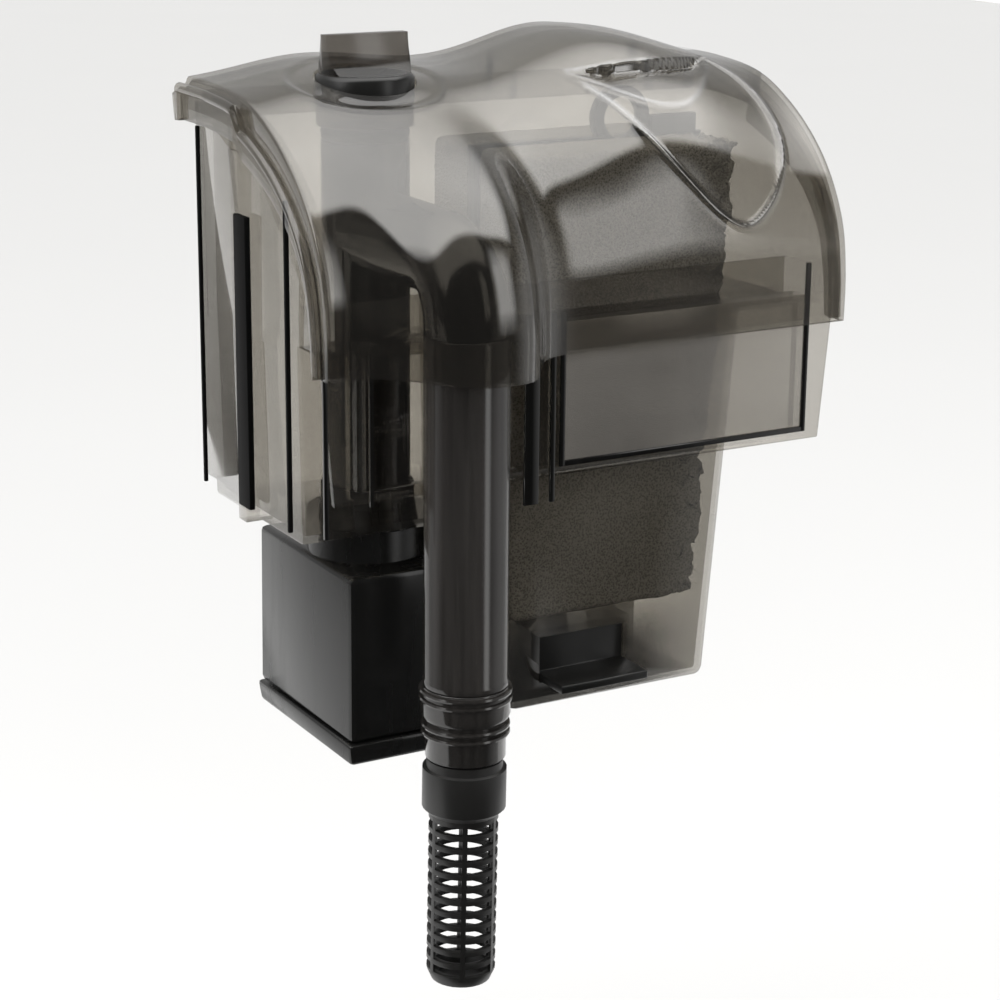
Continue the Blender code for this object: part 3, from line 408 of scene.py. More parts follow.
class Finish(Enum):
    """The finishes of the filter, each with what makes it."""

    CASE = ClearPlastic("smoke_case_plastic", dark_foot=0.45)
    LID = ClearPlastic("smoke_lid_plastic", opacity=0.25)
    TUBE = DarkClear("dark_tube_plastic", haze=(0.016, 0.0148, 0.0138), opacity=0.74)
    MANIFOLD = DarkClear("dark_manifold_plastic", haze=(0.004, 0.004, 0.0038), opacity=0.93)
    KNOB = DarkClear("dark_knob_plastic", passed=(0.66, 0.63, 0.59), haze=(0.012, 0.011, 0.010), opacity=0.45)
    TRIM = DarkClear("dark_edge_plastic", passed=(0.3, 0.28, 0.26), haze=(0.003, 0.003, 0.0028), opacity=0.95)
    # A pale, half-solid sheet: painted reflection of the bright glare on the hook's front wall.
    PANE = ClearPlastic("pale_painted_reflection", haze=(0.46, 0.44, 0.41), opacity=0.4)
    MOTOR = BlackPlastic("black_motor_plastic", roughness=0.17)
    SATIN = BlackPlastic("black_satin_plastic", roughness=0.26)
    STRAINER = BlackPlastic("black_strainer_plastic", colour=(0.007, 0.0068, 0.0065), roughness=0.3)
    STRIP = BlackPlastic("dull_black_strip", colour=(0.002, 0.002, 0.002), roughness=0.5, specular=0.08)
    RUBBER = BlackPlastic("black_rubber", colour=(0.014, 0.014, 0.014), roughness=0.6, grain=0.3)
    NYLON = BlackPlastic("white_nylon", colour=(0.55, 0.54, 0.50), roughness=0.4)
    FOAM = Foam("filter_foam")
    STEEL = Metal("laminated_steel", (0.45, 0.45, 0.46), 0.3, 1.0, (0.05, 1.0, 1.0))
    COPPER = Metal("enamelled_copper", (0.72, 0.28, 0.12), 0.25, 1.0, (0.05, 1.0, 1.0))
    FERRITE = Metal("ferrite_magnet", (0.045, 0.045, 0.05), 0.45, 0.3)
    CERAMIC = Metal("ceramic", (0.82, 0.8, 0.76), 0.2, 0.0)

    def material(self) -> bpy.types.Material:
        """The finish's one material, made the first time it is asked for."""
        return bpy.data.materials.get(f"{self.value.name}_finish") or self.value.make()


# ------------------------------------------------------------------- workbench


class Workpiece:
    """A mesh shaped with Blender's own tools, then finished and put on its body."""

    def __init__(self, obj: bpy.types.Object, name: str) -> None:
        """Take over an object under a new name."""
        self.obj = obj
        obj.name = name
        obj.data.name = name

    @staticmethod
    def clear_selection() -> None:
        """Leave edit mode and deselect everything."""
        if bpy.context.mode != "OBJECT":
            bpy.ops.object.mode_set(mode="OBJECT")
        bpy.ops.object.select_all(action="DESELECT")

    @classmethod
    def block(cls, name: str, low: Vector, high: Vector) -> Workpiece:
        """Start from a box between two corners."""
        cls.clear_selection()
        middle = (Vector(low) + Vector(high)) / 2
        size = Vector(high) - Vector(low)
        bpy.ops.mesh.primitive_cube_add(size=1, location=middle, scale=size)
        piece = cls(bpy.context.object, name)
        piece.settle()
        return piece

    @classmethod
    def bar(cls, name: str, start: Vector, end: Vector, radius: float, sides: int = 48) -> Workpiece:
        """Start from a round bar between two points."""
        cls.clear_selection()
        start, end = Vector(start), Vector(end)
        turn = (end - start).to_track_quat("Z", "Y").to_euler()
        size = (end - start).length
        bpy.ops.mesh.primitive_cylinder_add(
            vertices=sides, radius=radius, depth=size, location=(start + end) / 2, rotation=turn
        )
        piece = cls(bpy.context.object, name)
        piece.settle()
        return piece

    @classmethod
    def sheet(cls, name: str, columns: int, rows: int) -> Workpiece:
        """Start from a flat grid of columns by rows of points, one unit square."""
        cls.clear_selection()
        bpy.ops.mesh.primitive_grid_add(x_subdivisions=columns - 1, y_subdivisions=rows - 1, size=1)
        return cls(bpy.context.object, name)

    @classmethod
    def turned(cls, name: str, centre: tuple[float, float], profile: list, sides: int = 96) -> Workpiece:
        """Spin a closed profile of (radius, height) about the vertical through centre."""
        cls.clear_selection()
        mesh = bpy.data.meshes.new(name)
        points = [(centre[0] + radius, centre[1], height) for radius, height in profile]
        mesh.from_pydata(points, [(i, (i + 1) % len(points)) for i in range(len(points))], [])
        obj = bpy.data.objects.new(name, mesh)
        bpy.context.scene.collection.objects.link(obj)
        bpy.context.view_layer.objects.active = obj
        obj.select_set(True)
        bpy.ops.object.mode_set(mode="EDIT")
        bpy.ops.mesh.select_all(action="SELECT")
        bpy.ops.mesh.spin(steps=sides, angle=2 * math.pi, center=(*centre, 0), axis=(0, 0, 1))
        bpy.ops.mesh.select_all(action="SELECT")
        bpy.ops.mesh.remove_doubles(threshold=SAME_POINT)
        bpy.ops.mesh.normals_make_consistent(inside=False)
        bpy.ops.object.mode_set(mode="OBJECT")
        return cls(obj, name)

    @classmethod
    def from_node(cls, node: str, name: str) -> Workpiece:
        """Start from a merged copy of a CAD node's mesh."""
        cls.clear_selection()
        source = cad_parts[node]
        obj = bpy.data.objects.new(name, source.data.copy())
        obj.data.materials.clear()
        bpy.context.scene.collection.objects.link(obj)
        bpy.context.view_layer.objects.active = obj
        obj.select_set(True)
        bpy.ops.object.mode_set(mode="EDIT")
        bpy.ops.mesh.select_all(action="SELECT")
        bpy.ops.mesh.remove_doubles(threshold=SAME_POINT)
        bpy.ops.mesh.dissolve_limited(angle_limit=math.radians(0.5))
        bpy.ops.object.mode_set(mode="OBJECT")
        return cls(obj, name)

    def activate(self) -> None:
        """Make this the only selected object."""
        self.clear_selection()
        self.obj.select_set(True)
        bpy.context.view_layer.objects.active = self.obj

    def settle(self) -> None:
        """Put the object's place, turn and size into its mesh."""
        self.activate()
        bpy.ops.object.transform_apply(location=True, rotation=True, scale=True)

    def reshape(self, change: Callable[[np.ndarray], np.ndarray]) -> None:
        """Move every point of the mesh.

        Args:
            change: takes the points as an array of rows and gives them back moved.
        """
        mesh = self.obj.data
        points = np.empty(len(mesh.vertices) * 3, np.float32)
        mesh.vertices.foreach_get("co", points)
        moved = change(points.reshape(-1, 3).astype(float))
        mesh.vertices.foreach_set("co", moved.astype(np.float32).reshape(-1))
        mesh.update()

    def edit(self, *steps: Callable[[], object]) -> None:
        """Run edit mode tools on the whole mesh, in order."""
        self.activate()
        bpy.ops.object.mode_set(mode="EDIT")
        bpy.ops.mesh.select_all(action="SELECT")
        for step in steps:
            step()
        bpy.ops.object.mode_set(mode="OBJECT")

    def apply(self, kind: str, **settings: object) -> None:
        """Add one modifier and apply it."""
        self.activate()
        modifier = self.obj.modifiers.new(kind.lower(), kind)
        for key, item in settings.items():
            setattr(modifier, key, item)
        bpy.ops.object.modifier_apply(modifier=modifier.name)

    def cut(self, tool: Workpiece, operation: str = "DIFFERENCE") -> None:
        """Cut this piece with another, which is used up."""
        self.apply("BOOLEAN", operation=operation, object=tool.obj, solver="EXACT")
        bpy.data.objects.remove(tool.obj)

    def join(self, *others: Workpiece) -> None:
        """Add other pieces as further shells of this one."""
        self.activate()
        for other in others:
            other.obj.select_set(True)
        bpy.ops.object.join()

    def round_edges(self, width: float, segments: int = 2, angle: float = 35.0) -> None:
        """Break the sharp edges with a small radius."""
        limit = math.radians(angle)
        self.apply("BEVEL", width=width, segments=segments, limit_method="ANGLE", angle_limit=limit)

    def dress(self, finish: Finish, body: str, *nodes: str, smooth: float = 40.0) -> bpy.types.Object:
        """Give the piece its finish and its body.

        Args:
            finish: the finish.
            body: the CAD body that it rides on.
            nodes: the CAD nodes that it stands for.
            smooth: edges flatter than this many degrees are shaded smooth.

        Returns:
            The object.
        """
        self.activate()
        bpy.ops.object.shade_smooth_by_angle(angle=math.radians(smooth))
        self.obj.data.materials.clear()
        self.obj.data.materials.append(finish.material())
        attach(self.obj, body)
        if nodes:
            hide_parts(*nodes)
        LOG.info("%s: %d faces, rides on %s", self.obj.name, len(self.obj.data.polygons), body)
        return self.obj


def smooth_curve(stops: list[tuple[float, float]], shares: np.ndarray) -> np.ndarray:
    """Points along a smooth curve through the stops.

    Args:
        stops: the curve's own points.
        shares: how far along each wanted point is, from 0 to 1.

    Returns:
        One row of coordinates for each share.
    """
    table = np.array(stops, float)
    last = len(table) - 1
    place = np.clip(shares * last, 0, last - 1e-6)
    index = place.astype(int)
    t = (place - index)[:, None]
    before, start, end, after = (table[np.clip(index + k, 0, last)] for k in (-1, 0, 1, 2))
    rise = 2 * before - 5 * start + 4 * end - after
    turn = 3 * start - before - 3 * end + after
    return 0.5 * (2 * start + (end - before) * t + rise * t**2 + turn * t**3)


# ------------------------------------------------------------------ the pieces


@dataclass
class Lid:
    """The roll-top cover: crown with two lobes, ring dish, thumb grip and end beads."""

    low: Vector = field(default_factory=lambda: Vector(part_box("lid")[0]))
    high: Vector = field(default_factory=lambda: Vector(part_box("lid")[1]))
    top: float = 61.5 * MM
    wall: float = 1.5 * MM
    skirt: float = 10.5 * MM
    rows: int = 150
    columns: int = 190
    dish_radius: float = 20.5 * MM
    dish_depth: float = 0.9 * MM
    ridge_height: float = 0.7 * MM
    grip_depth: float = 3.0 * MM
    hole_radius: float = 13.9 * MM
    end_inset: float = 3.0 * MM
    jog: float = 0.222
    skirt_levels: tuple[float, ...] = (0.0, 0.5, 0.86, 0.97)

    def outline(self, shares: np.ndarray) -> np.ndarray:
        """The side outline (y, z, rise share, reach share) at each share of its length."""
        rear, front, low = self.high.y / MM, -15.0, self.low.z / MM
        top = self.top / MM
        stops = [
            (rear, top, 0.9, 0.0),
            (50, top - 0.5, 1.0, 0.0),
            (30, top - 3, 1.0, 0.0),
            (14, top - 10, 0.95, 0.12),
            (1, top - 19.5, 0.85, 0.52),
            (-7.5, top - 29.5, 0.65, 0.8),
            (front + 2, top - 41, 0.4, 0.93),
            (front, top - 54, 0.15, 0.99),
            (front, low, 0.0, 1.0),
        ]
        return smooth_curve(stops, shares)

    def surface(self, x: np.ndarray, shares: np.ndarray) -> np.ndarray:
        """Points of the outer face, in millimetres, for arrays of x and share."""
        y, z, rise_share, reach_share = self.outline(shares).T
        pump = PUMP_X / MM

        def bell(middle: float, left: float, right: float, power: float = 2) -> np.ndarray:
            """A smooth hump over x, as wide on each side as said."""
            width = np.where(x < middle, left, right)
            return np.exp(-np.abs((x - middle) / width) ** power)

        rise = 6.5 * bell(pump, 28, 32) + 12.5 * bell(30, 30, 36)
        reach = 24.0 * bell(pump + 3, 19, 18, 3)
        return np.stack([x, y - reach * reach_share, z + rise * rise_share], axis=-1)

    def relief(self, points: np.ndarray) -> np.ndarray:
        """How far each point stands out for the dish, the grip and its ridge, in millimetres."""
        x, y, z = points.T
        depth = self.dish_depth / MM
        away = np.hypot(x - PUMP_X / MM, y - PUMP_Y / MM)
        out = -depth / (1 + np.exp((away - self.dish_radius / MM) / 0.45))
        lower, upper = self.grip_edges(x)
        span = np.maximum(upper - lower, 0.01)
        share = np.clip((y - lower) / span, 0, 1)
        inside = (upper > lower) & (z > 40)
        edge = np.clip((upper - y) / 1.3, 0, 1)
        shape = np.minimum(1, span / 9) * share**1.3 * edge * edge * (3 - 2 * edge)
        out -= np.where(inside & (y > lower) & (y < upper), self.grip_depth / MM * shape, 0)
        return out + self.ridge_height / MM * self.ridge(x, z)

    @staticmethod
    def grip_edges(x: np.ndarray) -> tuple[np.ndarray, np.ndarray]:
        """The leaf-shaped grip's front and rear edges (y) at each x, in millimetres."""
        return 5.0 + 0.0335 * (x - 33.5) ** 2, 19.5 + 0.0115 * (x - 28.0) ** 2

    def ridge(self, x: np.ndarray, z: np.ndarray) -> np.ndarray:
        """The drop-shaped line below the grip, 1 on the line and 0 away from it."""
        loop = [
            (12, 61), (17.5, 55), (28.5, 40), (38.5, 29), (47, 24.5), (55, 28.5),
            (62.5, 37), (67, 46), (68, 54), (66, 60), (61, 64.5),
        ]
        path = smooth_curve(loop, np.linspace(0, 1, 70))
        nearest = np.full(len(x), 1e9)
        for start, end in zip(path, path[1:]):
            along = end - start
            reach = (x - start[0]) * along[0] + (z - start[1]) * along[1]
            share = np.clip(reach / (along @ along), 0, 1)
            gap = np.hypot(x - start[0] - share * along[0], z - start[1] - share * along[1])
            nearest = np.minimum(nearest, gap)
        return np.exp(-((nearest / 0.7) ** 2))

    def painted_shade_lines(self, points: np.ndarray) -> np.ndarray:
        """How much painted shade each point gets, from 0 to 1, along the dish's ring, the ridge's shaded
        flank and the grip's edges.
        """
        x, y, z = points.T
        away = np.hypot(x - PUMP_X / MM, y - PUMP_Y / MM)
        ring = np.exp(-(((away - self.dish_radius / MM - 0.6) / 0.45) ** 2)) * (z > 40)
        lower, upper = self.grip_edges(x)
        near = np.minimum(np.abs(y - upper - 0.3), np.abs(y - lower + 0.2))
        grip = np.exp(-((near / 0.5) ** 2)) * (upper > lower) * (z > 40)
        # The ridge's painted shade sits half a millimetre off its crest in x and z, on one flank.
        return np.clip(0.5 * ring + 0.8 * self.ridge(x - 0.5, z - 0.5) + 0.7 * grip, 0, 1)

    def end_section(self, rear: float) -> list[tuple[float, float]]:
        """The rolled end as (outward, downward) steps from the crown's edge, in millimetres.

        Args:
            rear: 1 behind the jog, 0 in front of it.

        Returns:
            The steps, from the crown's edge to the band's low edge.
        """
        start = 1.5 + 6.0 * (1 - rear)
        out = 1.6 * rear
        bead = 1.55
        steps = [(0.5, 0.15), (0.9, 0.6), (1.0, 1.2), (1.0, max(start - 0.6, 1.25))]
        centre = (1.5 + out, start + bead)
        for k in range(9):
            angle = math.radians(150 - 33 * k)
            steps.append((centre[0] + bead * math.cos(angle), centre[1] - bead * math.sin(angle)))
        low = start + self.skirt / MM - start * 0.25
        steps += [(1.2 + out, start + 2 * bead + 0.3), (1.3 + out, low - 0.4), (1.2 + out, low)]
        return steps

    def inward(self, shares: np.ndarray) -> np.ndarray:
        """The unit step (y, z) into the lid, at right angles to the outline, at each share."""
        ahead = self.outline(np.clip(shares + 0.01, 0, 1))[:, :2]
        back = self.outline(np.clip(shares - 0.01, 0, 1))[:, :2]
        along = ahead - back
        along /= np.linalg.norm(along, axis=1, keepdims=True)
        return np.stack([-along[:, 1], along[:, 0]], axis=1)

    def cover(self) -> np.ndarray:
        """The outer face as rows of points, in millimetres: the crown between its rolled ends."""
        shares = np.linspace(0, 1, self.rows)
        behind = 1 - np.clip((shares - self.jog) / 0.02, 0, 1)
        taper = np.clip((shares - 0.3) / 0.7, 0, 1)
        steps_at = [np.array(self.end_section(b)) for b in behind]
        steps = len(steps_at[0])
        half = self.high.x / MM - self.end_inset / MM
        across = np.linspace(-half, half, self.columns)
        inward = self.inward(shares)
        points = np.zeros((self.rows, self.columns + 2 * steps, 3))
        for row, share in enumerate(shares):
            crown = self.surface(across, np.full(self.columns, share))
            shift = self.relief(crown)
            crown[:, 1] += -inward[row, 0] * shift
            crown[:, 2] += -inward[row, 1] * shift
            points[row, steps:-steps] = crown
            for side, edge in ((-1, crown[0]), (1, crown[-1])):
                for k, (outward, drop) in enumerate(steps_at[row]):
                    drop *= 1 - 0.45 * taper[row] * min(1.0, drop / 6)
                    step = np.array([side * outward, inward[row, 0] * drop, inward[row, 1] * drop])
                    place = edge + step
                    place[2] = max(place[2], self.low.z / MM)
                    points[row, steps - 1 - k if side < 0 else steps + self.columns + k] = place
        return points

    def rear_skirt(self, first: np.ndarray) -> np.ndarray:
        """Rows of points down the rear wall, from its low edge up to the crown's first row."""
        low_edge = (self.top - self.skirt) / MM
        rows = np.repeat(first[None], len(self.skirt_levels), axis=0)
        for row, level in zip(rows, self.skirt_levels):
            row[:, 2] = low_edge + (first[:, 2] - low_edge) * level
            row[:, 1] = self.high.y / MM
        return rows

    def build(self) -> bpy.types.Object:
        """Model the lid and put it on its body."""
        crown = self.cover()
        skirt = self.rear_skirt(crown[0])
        crown[0, :, 1] -= 0.35
        points = np.concatenate([skirt, crown])
        piece = Workpiece.sheet("lid_cover", points.shape[1], points.shape[0])
        flat = points.reshape(-1, 3)
        piece.reshape(lambda _old: flat * MM)
        # Painted shade: the 'line' attribute darkens the lid along its dish ring, ridge flank and grip edges,
        # where the relief falls into shade.
        painted_shade_marks = piece.obj.data.attributes.new("line", "FLOAT", "POINT")
        painted_shade_marks.data.foreach_set("value", self.painted_shade_lines(flat).astype(np.float32))
        piece.edit(lambda: bpy.ops.mesh.remove_doubles(threshold=4 * SAME_POINT))
        self.face_out(piece)
        piece.apply("SOLIDIFY", thickness=self.wall, offset=-1, use_even_offset=False)
        low, high = (PUMP_X, PUMP_Y, 30 * MM), (PUMP_X, PUMP_Y, 90 * MM)
        piece.cut(Workpiece.bar("knob_way", low, high, self.hole_radius, 96))
        return piece.dress(Finish.LID, "lid", "lid", smooth=50)

    @staticmethod
    def face_out(piece: Workpiece) -> None:
        """Turn an open sheet's faces so that its top looks up."""
        piece.edit(lambda: bpy.ops.mesh.normals_make_consistent(inside=False))
        faces = piece.obj.data.polygons
        highest = max(faces, key=lambda face: face.center.z)
        if highest.normal.z < 0:
            piece.edit(bpy.ops.mesh.flip_normals)


@dataclass
class Case:
    """The clear case, with its edges broken as a moulding's are."""

    edge: float = 0.45 * MM

    def build(self) -> None:
        """Dress the moulded case."""
        case = Workpiece.from_node("filter_body", "case_moulding")
        case.round_edges(self.edge, 2, 40)
        case.dress(Finish.CASE, "case", "filter_body")


@dataclass
class HookTrim:
    """The dark edges of the hook's front wall: a frame round its window and two posts by the tube."""

    face: float = -10.0 * MM
    lift: float = 0.5 * MM
    bar: float = 1.5 * MM
    left: float = -8.0 * MM
    right: float = 70.0 * MM
    low: float = -35.0 * MM
    high: float = 6.0 * MM

    def strip(self, name: str, left: float, right: float, low: float, high: float) -> Workpiece:
        """One flat strip on the front of the wall, with its edges broken."""
        near, far = self.face - self.lift, self.face + self.lift
        piece = Workpiece.block(name, (left, near, low), (right, far, high))
        piece.round_edges(0.25 * MM)
        return piece

    def build(self) -> None:
        """Model the frame, the posts and a pale sheet of painted reflection over the window."""
        bar, left, right = self.bar, self.left, self.right
        frame_left = self.strip("window_frame", left - bar, left, self.low - bar, self.high)
        frame_low = self.strip("frame_low", left - 0.2 * MM, right + 0.2 * MM, self.low - bar, self.low)
        frame_right = self.strip("frame_right", right, right + bar, self.low - bar, self.high + 6 * MM)
        frame_left.join(frame_low, frame_right)
        frame_left.dress(Finish.TRIM, "case")
        posts = self.strip("tube_posts", -20.5 * MM, -16 * MM, -46 * MM, self.high)
        posts.join(
            self.strip("post_edge", -12.5 * MM, -11 * MM, -46 * MM, self.high),
            self.strip("post_left", -79.6 * MM, -78.2 * MM, -47 * MM, 0),
            self.strip("post_inner", -66.5 * MM, -65.2 * MM, -40 * MM, 0),
        )
        posts.dress(Finish.TRIM, "case")
        # Painted reflection: a pale sheet over the window stands in for the glare on the front wall.
        low, high = (left + 0.2 * MM, self.face - 0.1 * MM, self.low), (right, self.face + 0.5 * MM, 3 * MM)
        painted_glare = Workpiece.block("window_painted_reflection", low, high)
        painted_glare.round_edges(0.2 * MM)
        painted_glare.dress(Finish.PANE, "case")


@dataclass
class SideRibs:
    """Upright ribs on the case's left wall, which read as dark strips from the side."""

    face: float = -80.2 * MM
    low: float = -50.0 * MM
    ribs: tuple[tuple[float, float, float, float], ...] = (
        (32.5, 40.0, 1.1, 30.0),
        (8.4, 9.6, 0.7, 38.0),
        (64.4, 65.6, 0.5, 50.0),
    )

    def build(self) -> None:
        """Model each rib from its front, rear, depth and top."""
        made: list[Workpiece] = []
        for number, (front, rear, depth, top) in enumerate(self.ribs):
            low = (self.face - depth * MM, front * MM, self.low)
            high = (self.face + 0.6 * MM, rear * MM, top * MM)
            rib = Workpiece.block(f"side_rib_{number}", low, high)
            rib.round_edges(0.3 * MM)
            made.append(rib)
        made[0].join(*made[1:])
        made[0].dress(Finish.STRIP, "case")


@dataclass
class KnobSkirt:
    """The black collar at the knob's foot, where it stands in the lid."""

    inner: float = 11.6 * MM
    outer: float = 13.3 * MM
    low: float = 58.2 * MM
    high: float = 65.6 * MM

    def build(self) -> None:
        """Turn the collar."""
        lip = 0.6 * MM
        profile = [
            (self.inner, self.low),
            (self.outer - lip, self.low),
            (self.outer, self.low + lip),
            (self.outer, self.high - 2 * lip),
            (self.outer - lip, self.high - lip / 2),
            (self.outer - 2 * lip, self.high),
            (self.inner, self.high),
        ]
        Workpiece.turned("knob_collar", (PUMP_X, PUMP_Y), profile).dress(Finish.SATIN, "knob")


@dataclass
class TubeRings:
    """The raised rings on the suction tube's collar."""

    radius: float = 12.0 * MM
    raised: float = 0.5 * MM
    heights: tuple[float, ...] = (-89.4, -91.6, -99.0, -101.2)

    def build(self) -> None:
        """Turn each ring."""
        first: Workpiece | None = None
        for number, height in enumerate(self.heights):
            level = height * MM
            radius = self.radius - (0.6 * MM if height < -95 else 0)
            profile = [
                (radius - 0.6 * MM, level - 0.7 * MM),
                (radius + 0.6 * self.raised, level - 0.5 * MM),
                (radius + self.raised, level),
                (radius + 0.6 * self.raised, level + 0.5 * MM),
                (radius - 0.6 * MM, level + 0.7 * MM),
            ]
            ring = Workpiece.turned(f"collar_ring_{number}", (PUMP_X, TUBE_Y), profile, 64)
            if first:
                first.join(ring)
            else:
                first = ring
        if first:
            first.dress(Finish.TUBE, "case")


@dataclass
class Fittings:
    """The hard parts that keep the CAD's shape, with broken edges and their finishes."""

    def build(self) -> None:
        """Dress every hard part."""
        table = [
            ("flow_knob", "knob", Finish.KNOB, 0.5),
            ("flow_valve", "knob", Finish.SATIN, 0.2),
            ("knob_seal", "case", Finish.RUBBER, 0.2),
            ("intake_manifold", "case", Finish.MANIFOLD, 0.3),
            ("intake_tube", "case", Finish.TUBE, 0.2),
            ("tube_collar", "case", Finish.TUBE, 0.2),
            ("extension_tube", "extension", Finish.TUBE, 0.2),
            ("strainer", "extension", Finish.STRAINER, 0.18),
            ("motor_housing", "case", Finish.MOTOR, 0.5),
            ("motor_cap", "case", Finish.MOTOR, 0.4),
            ("rotor_well", "case", Finish.SATIN, 0.3),
            ("motor_gasket", "case", Finish.RUBBER, 0.3),
            ("cable_gland", "case", Finish.RUBBER, 0.5),
            ("levelling_foot", "foot", Finish.SATIN, 0.4),
            ("cartridge_frame", "case", Finish.SATIN, 0.5),
            *((f"motor_cap_screw_{number}", "case", Finish.STEEL, 0.2) for number in range(1, 5)),
            ("stator_core", "case", Finish.STEEL, 0.3),
            ("coil_bobbin", "case", Finish.NYLON, 0.2),
            ("coil_winding", "case", Finish.COPPER, 0.5),
            ("rotor_magnet", "impeller", Finish.FERRITE, 0.4),
            ("impeller_blades", "impeller", Finish.NYLON, 0.2),
            ("impeller_shaft", "case", Finish.CERAMIC, 0.2),
            ("lower_bushing", "case", Finish.RUBBER, 0.2),
            ("upper_bushing", "case", Finish.RUBBER, 0.2),
        ]
        for node, body, finish, edge in table:
            part = Workpiece.from_node(node, f"{node}_part")
            part.round_edges(edge * MM, 2, 35)
            part.dress(finish, body, node)


@dataclass
class FoamPads:
    """The two foam pads, with soft edges and a torn right side."""

    cell: float = 2.4 * MM
    fray: float = 2.2 * MM

    def build(self) -> None:
        """Model both pads."""
        for seed, node in enumerate(("front_foam_pad", "rear_foam_pad")):
            low, high = (Vector(corner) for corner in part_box(node))
            pad = Workpiece.from_node(node, node.replace("foam_pad", "pad_foam"))
            pad.apply("REMESH", mode="VOXEL", voxel_size=self.cell)
            pad.reshape(lambda points: self.ruffle(points, low, high, seed))
            pad.apply("SUBSURF", levels=1, render_levels=1)
            pad.reshape(lambda points: self.ruffle(points, low, high, seed + 5, 0.35))
            pad.dress(Finish.FOAM, "case", node, smooth=60)

    def ruffle(
        self, points: np.ndarray, low: Vector, high: Vector, seed: int, size: float = 1.0
    ) -> np.ndarray:
        """Push points in and out, most along the right side, without leaving the pad's space.

        Args:
            points: the pad's points.
            low: the lowest corner of its space.
            high: the highest corner of its space.
            seed: which draw of random numbers to use.
            size: how strong the push is.

        Returns:
            The points, moved.
        """
        maker = np.random.default_rng(seed + 11)
        wild = maker.normal(size=points.shape)
        torn_from = high.x - 16 * MM - (high.z - points[:, 2]) * 0.08
        right = np.clip((points[:, 0] - torn_from) / (10 * MM), 0, 1)
        amount = size * (0.25 * MM + self.fray * right)
        moved = points + wild * amount[:, None] * 0.5
        moved[:, 0] -= np.abs(wild[:, 0]) * amount * 0.8
        return np.clip(moved, np.array(low), np.array(high))


# -------------------------------------------------------------------- the room


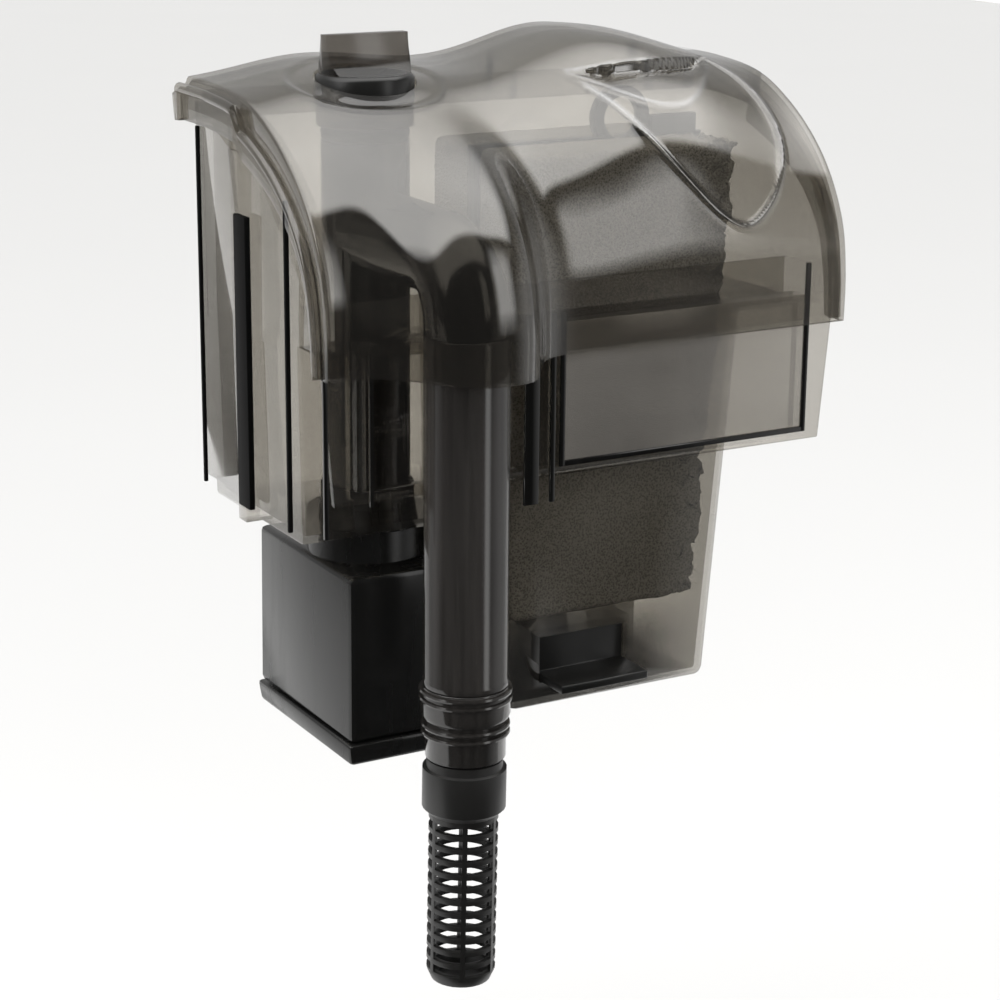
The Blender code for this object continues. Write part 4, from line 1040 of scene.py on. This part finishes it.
@dataclass
class Studio:
    """A pale floor, soft light and the camera."""

    azimuth: float = -29.70
    elevation: float = 16.29
    roll: float = 0.48
    distance: float = 646.7 * MM
    lens: float = 90.4
    aim: tuple[float, float] = (-51.3 * MM, 39.0 * MM)
    anchor: tuple[float, float, float] = (-78 * MM, 8 * MM, 0.0)
    overhead: float = 2.8
    front: float = 1.8

    def camera(self) -> None:
        """Create the camera and make it the scene's."""
        turn, lift, roll = (math.radians(angle) for angle in (self.azimuth, self.elevation, self.roll))
        level = Vector((math.cos(turn), math.sin(turn), 0))
        back = Vector((math.sin(turn) * math.cos(lift), -math.cos(turn) * math.cos(lift), math.sin(lift)))
        up = back.cross(level)
        right = math.cos(roll) * level + math.sin(roll) * up
        upward = back.cross(right)
        place = Vector(self.anchor) + back * self.distance - right * self.aim[0] - upward * self.aim[1]
        data = bpy.data.cameras.new("view")
        data.lens = self.lens
        data.sensor_width = 36
        data.shift_x = 0.0037
        data.shift_y = -0.0017
        camera = bpy.data.objects.new("view", data)
        facing = Matrix((right, upward, back)).transposed().to_4x4()
        camera.matrix_world = Matrix.Translation(place) @ facing
        bpy.context.scene.collection.objects.link(camera)
        bpy.context.scene.camera = camera

    def lamp(
        self, name: str, place: Vector, aim: Vector, size: tuple[float, float], power: float
    ) -> None:
        """Add one soft box.

        Args:
            name: its name.
            place: where it stands.
            aim: the point that it faces.
            size: its width and height.
            power: its strength in watts.
        """
        data = bpy.data.lights.new(name, "AREA")
        data.shape = "RECTANGLE"
        data.size, data.size_y = size
        data.energy = power
        lamp = bpy.data.objects.new(name, data)
        lamp.location = place
        lamp.visible_glossy = False
        lamp.rotation_euler = (Vector(aim) - Vector(place)).to_track_quat("-Z", "Y").to_euler()
        bpy.context.scene.collection.objects.link(lamp)

    def room(self) -> None:
        """Make the surroundings: white behind, a wide soft box overhead, dark ahead and below."""
        world = bpy.data.worlds.new("room")
        world.use_nodes = True
        tree = world.node_tree
        tree.nodes.clear()
        ways = tree.nodes.new("ShaderNodeTexCoord").outputs["Generated"]
        split = tree.nodes.new("ShaderNodeSeparateXYZ")
        tree.links.new(ways, split.inputs[0])
        across, ahead, height = (Value(tree, split.outputs[axis]) for axis in "XYZ")
        rise = height.at_least(0.05)
        along = ahead / rise
        side = across / rise
        box = along.step(-0.62, -0.50) * (1 - side.step(0.95, 1.35))
        box = box * (1 - along.step(0.1, 1.1)) * height.step(0.2, 0.4)
        behind = ahead.step(0.05, 0.5)
        place = (across - 0.46) / 0.16
        window = (1 - place.step(0.4, 1.0)) * place.step(-1.0, -0.4)
        window = window * height.step(0.0, 0.12) * (1 - height.step(0.55, 0.75))
        window = window * (1 - ahead.step(-0.6, -0.5))
        flank = across.step(0.5, 0.9) * (1 - height.step(0.2, 0.5)) * (1 - behind)
        glow = 0.03 + 0.55 * flank + 0.42 * behind + self.overhead * box + self.front * window
        path = tree.nodes.new("ShaderNodeLightPath")
        seen = Value(tree, path.outputs["Is Camera Ray"])
        strength = glow * (1 - seen) + 1.05 * seen
        background = tree.nodes.new("ShaderNodeBackground")
        background.inputs["Color"].default_value = (1, 0.995, 0.985, 1)
        tree.links.new(strength.socket, background.inputs["Strength"])
        output = tree.nodes.new("ShaderNodeOutputWorld")
        tree.links.new(background.outputs[0], output.inputs["Surface"])
        bpy.context.scene.world = world
        bpy.context.scene.view_settings.view_transform = "Standard"

    def floor(self) -> None:
        """Lay a wide pale floor under the filter."""
        Workpiece.clear_selection()
        bpy.ops.mesh.primitive_plane_add(size=6, location=(0, 2.95, -0.3))
        floor = bpy.context.object
        floor.name = "floor"
        recipe = Recipe("pale_floor")
        cloud = recipe.noise(3, 3)
        surface = recipe.node(
            "ShaderNodeBsdfPrincipled",
            Base_Color=recipe.blend(cloud, (0.56, 0.56, 0.559, 1), (0.57, 0.57, 0.569, 1)),
            Roughness=1.0,
            Specular_IOR_Level=0.0,
        )
        floor.data.materials.append(recipe.finish(surface))

    def build(self) -> None:
        """Set up the whole room."""
        bpy.context.scene.cycles.transparent_max_bounces = 24
        self.camera()
        self.room()
        self.floor()
        centre = Vector((0, 20 * MM, 0))
        self.lamp("overhead", Vector((0.2, -0.1, 1.3)), centre, (1.2, 0.9), 6)
        self.lamp("front_fill", Vector((-0.5, -1.3, 0.45)), centre, (1.2, 0.9), 15)
        self.lamp("left_side", Vector((-1.1, -0.2, 0.35)), centre, (0.7, 0.9), 2.5)


def main() -> None:
    """Build the filter, piece by piece, in its room."""
    logging.basicConfig(level=logging.INFO, format="%(name)s: %(message)s")
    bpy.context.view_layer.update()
    Studio().build()
    for part in (Lid(), Case(), HookTrim(), SideRibs(), KnobSkirt(), TubeRings(), Fittings(), FoamPads()):
        part.build()
        LOG.info("%s done", type(part).__name__)


if __name__ == "__main__":
    main()
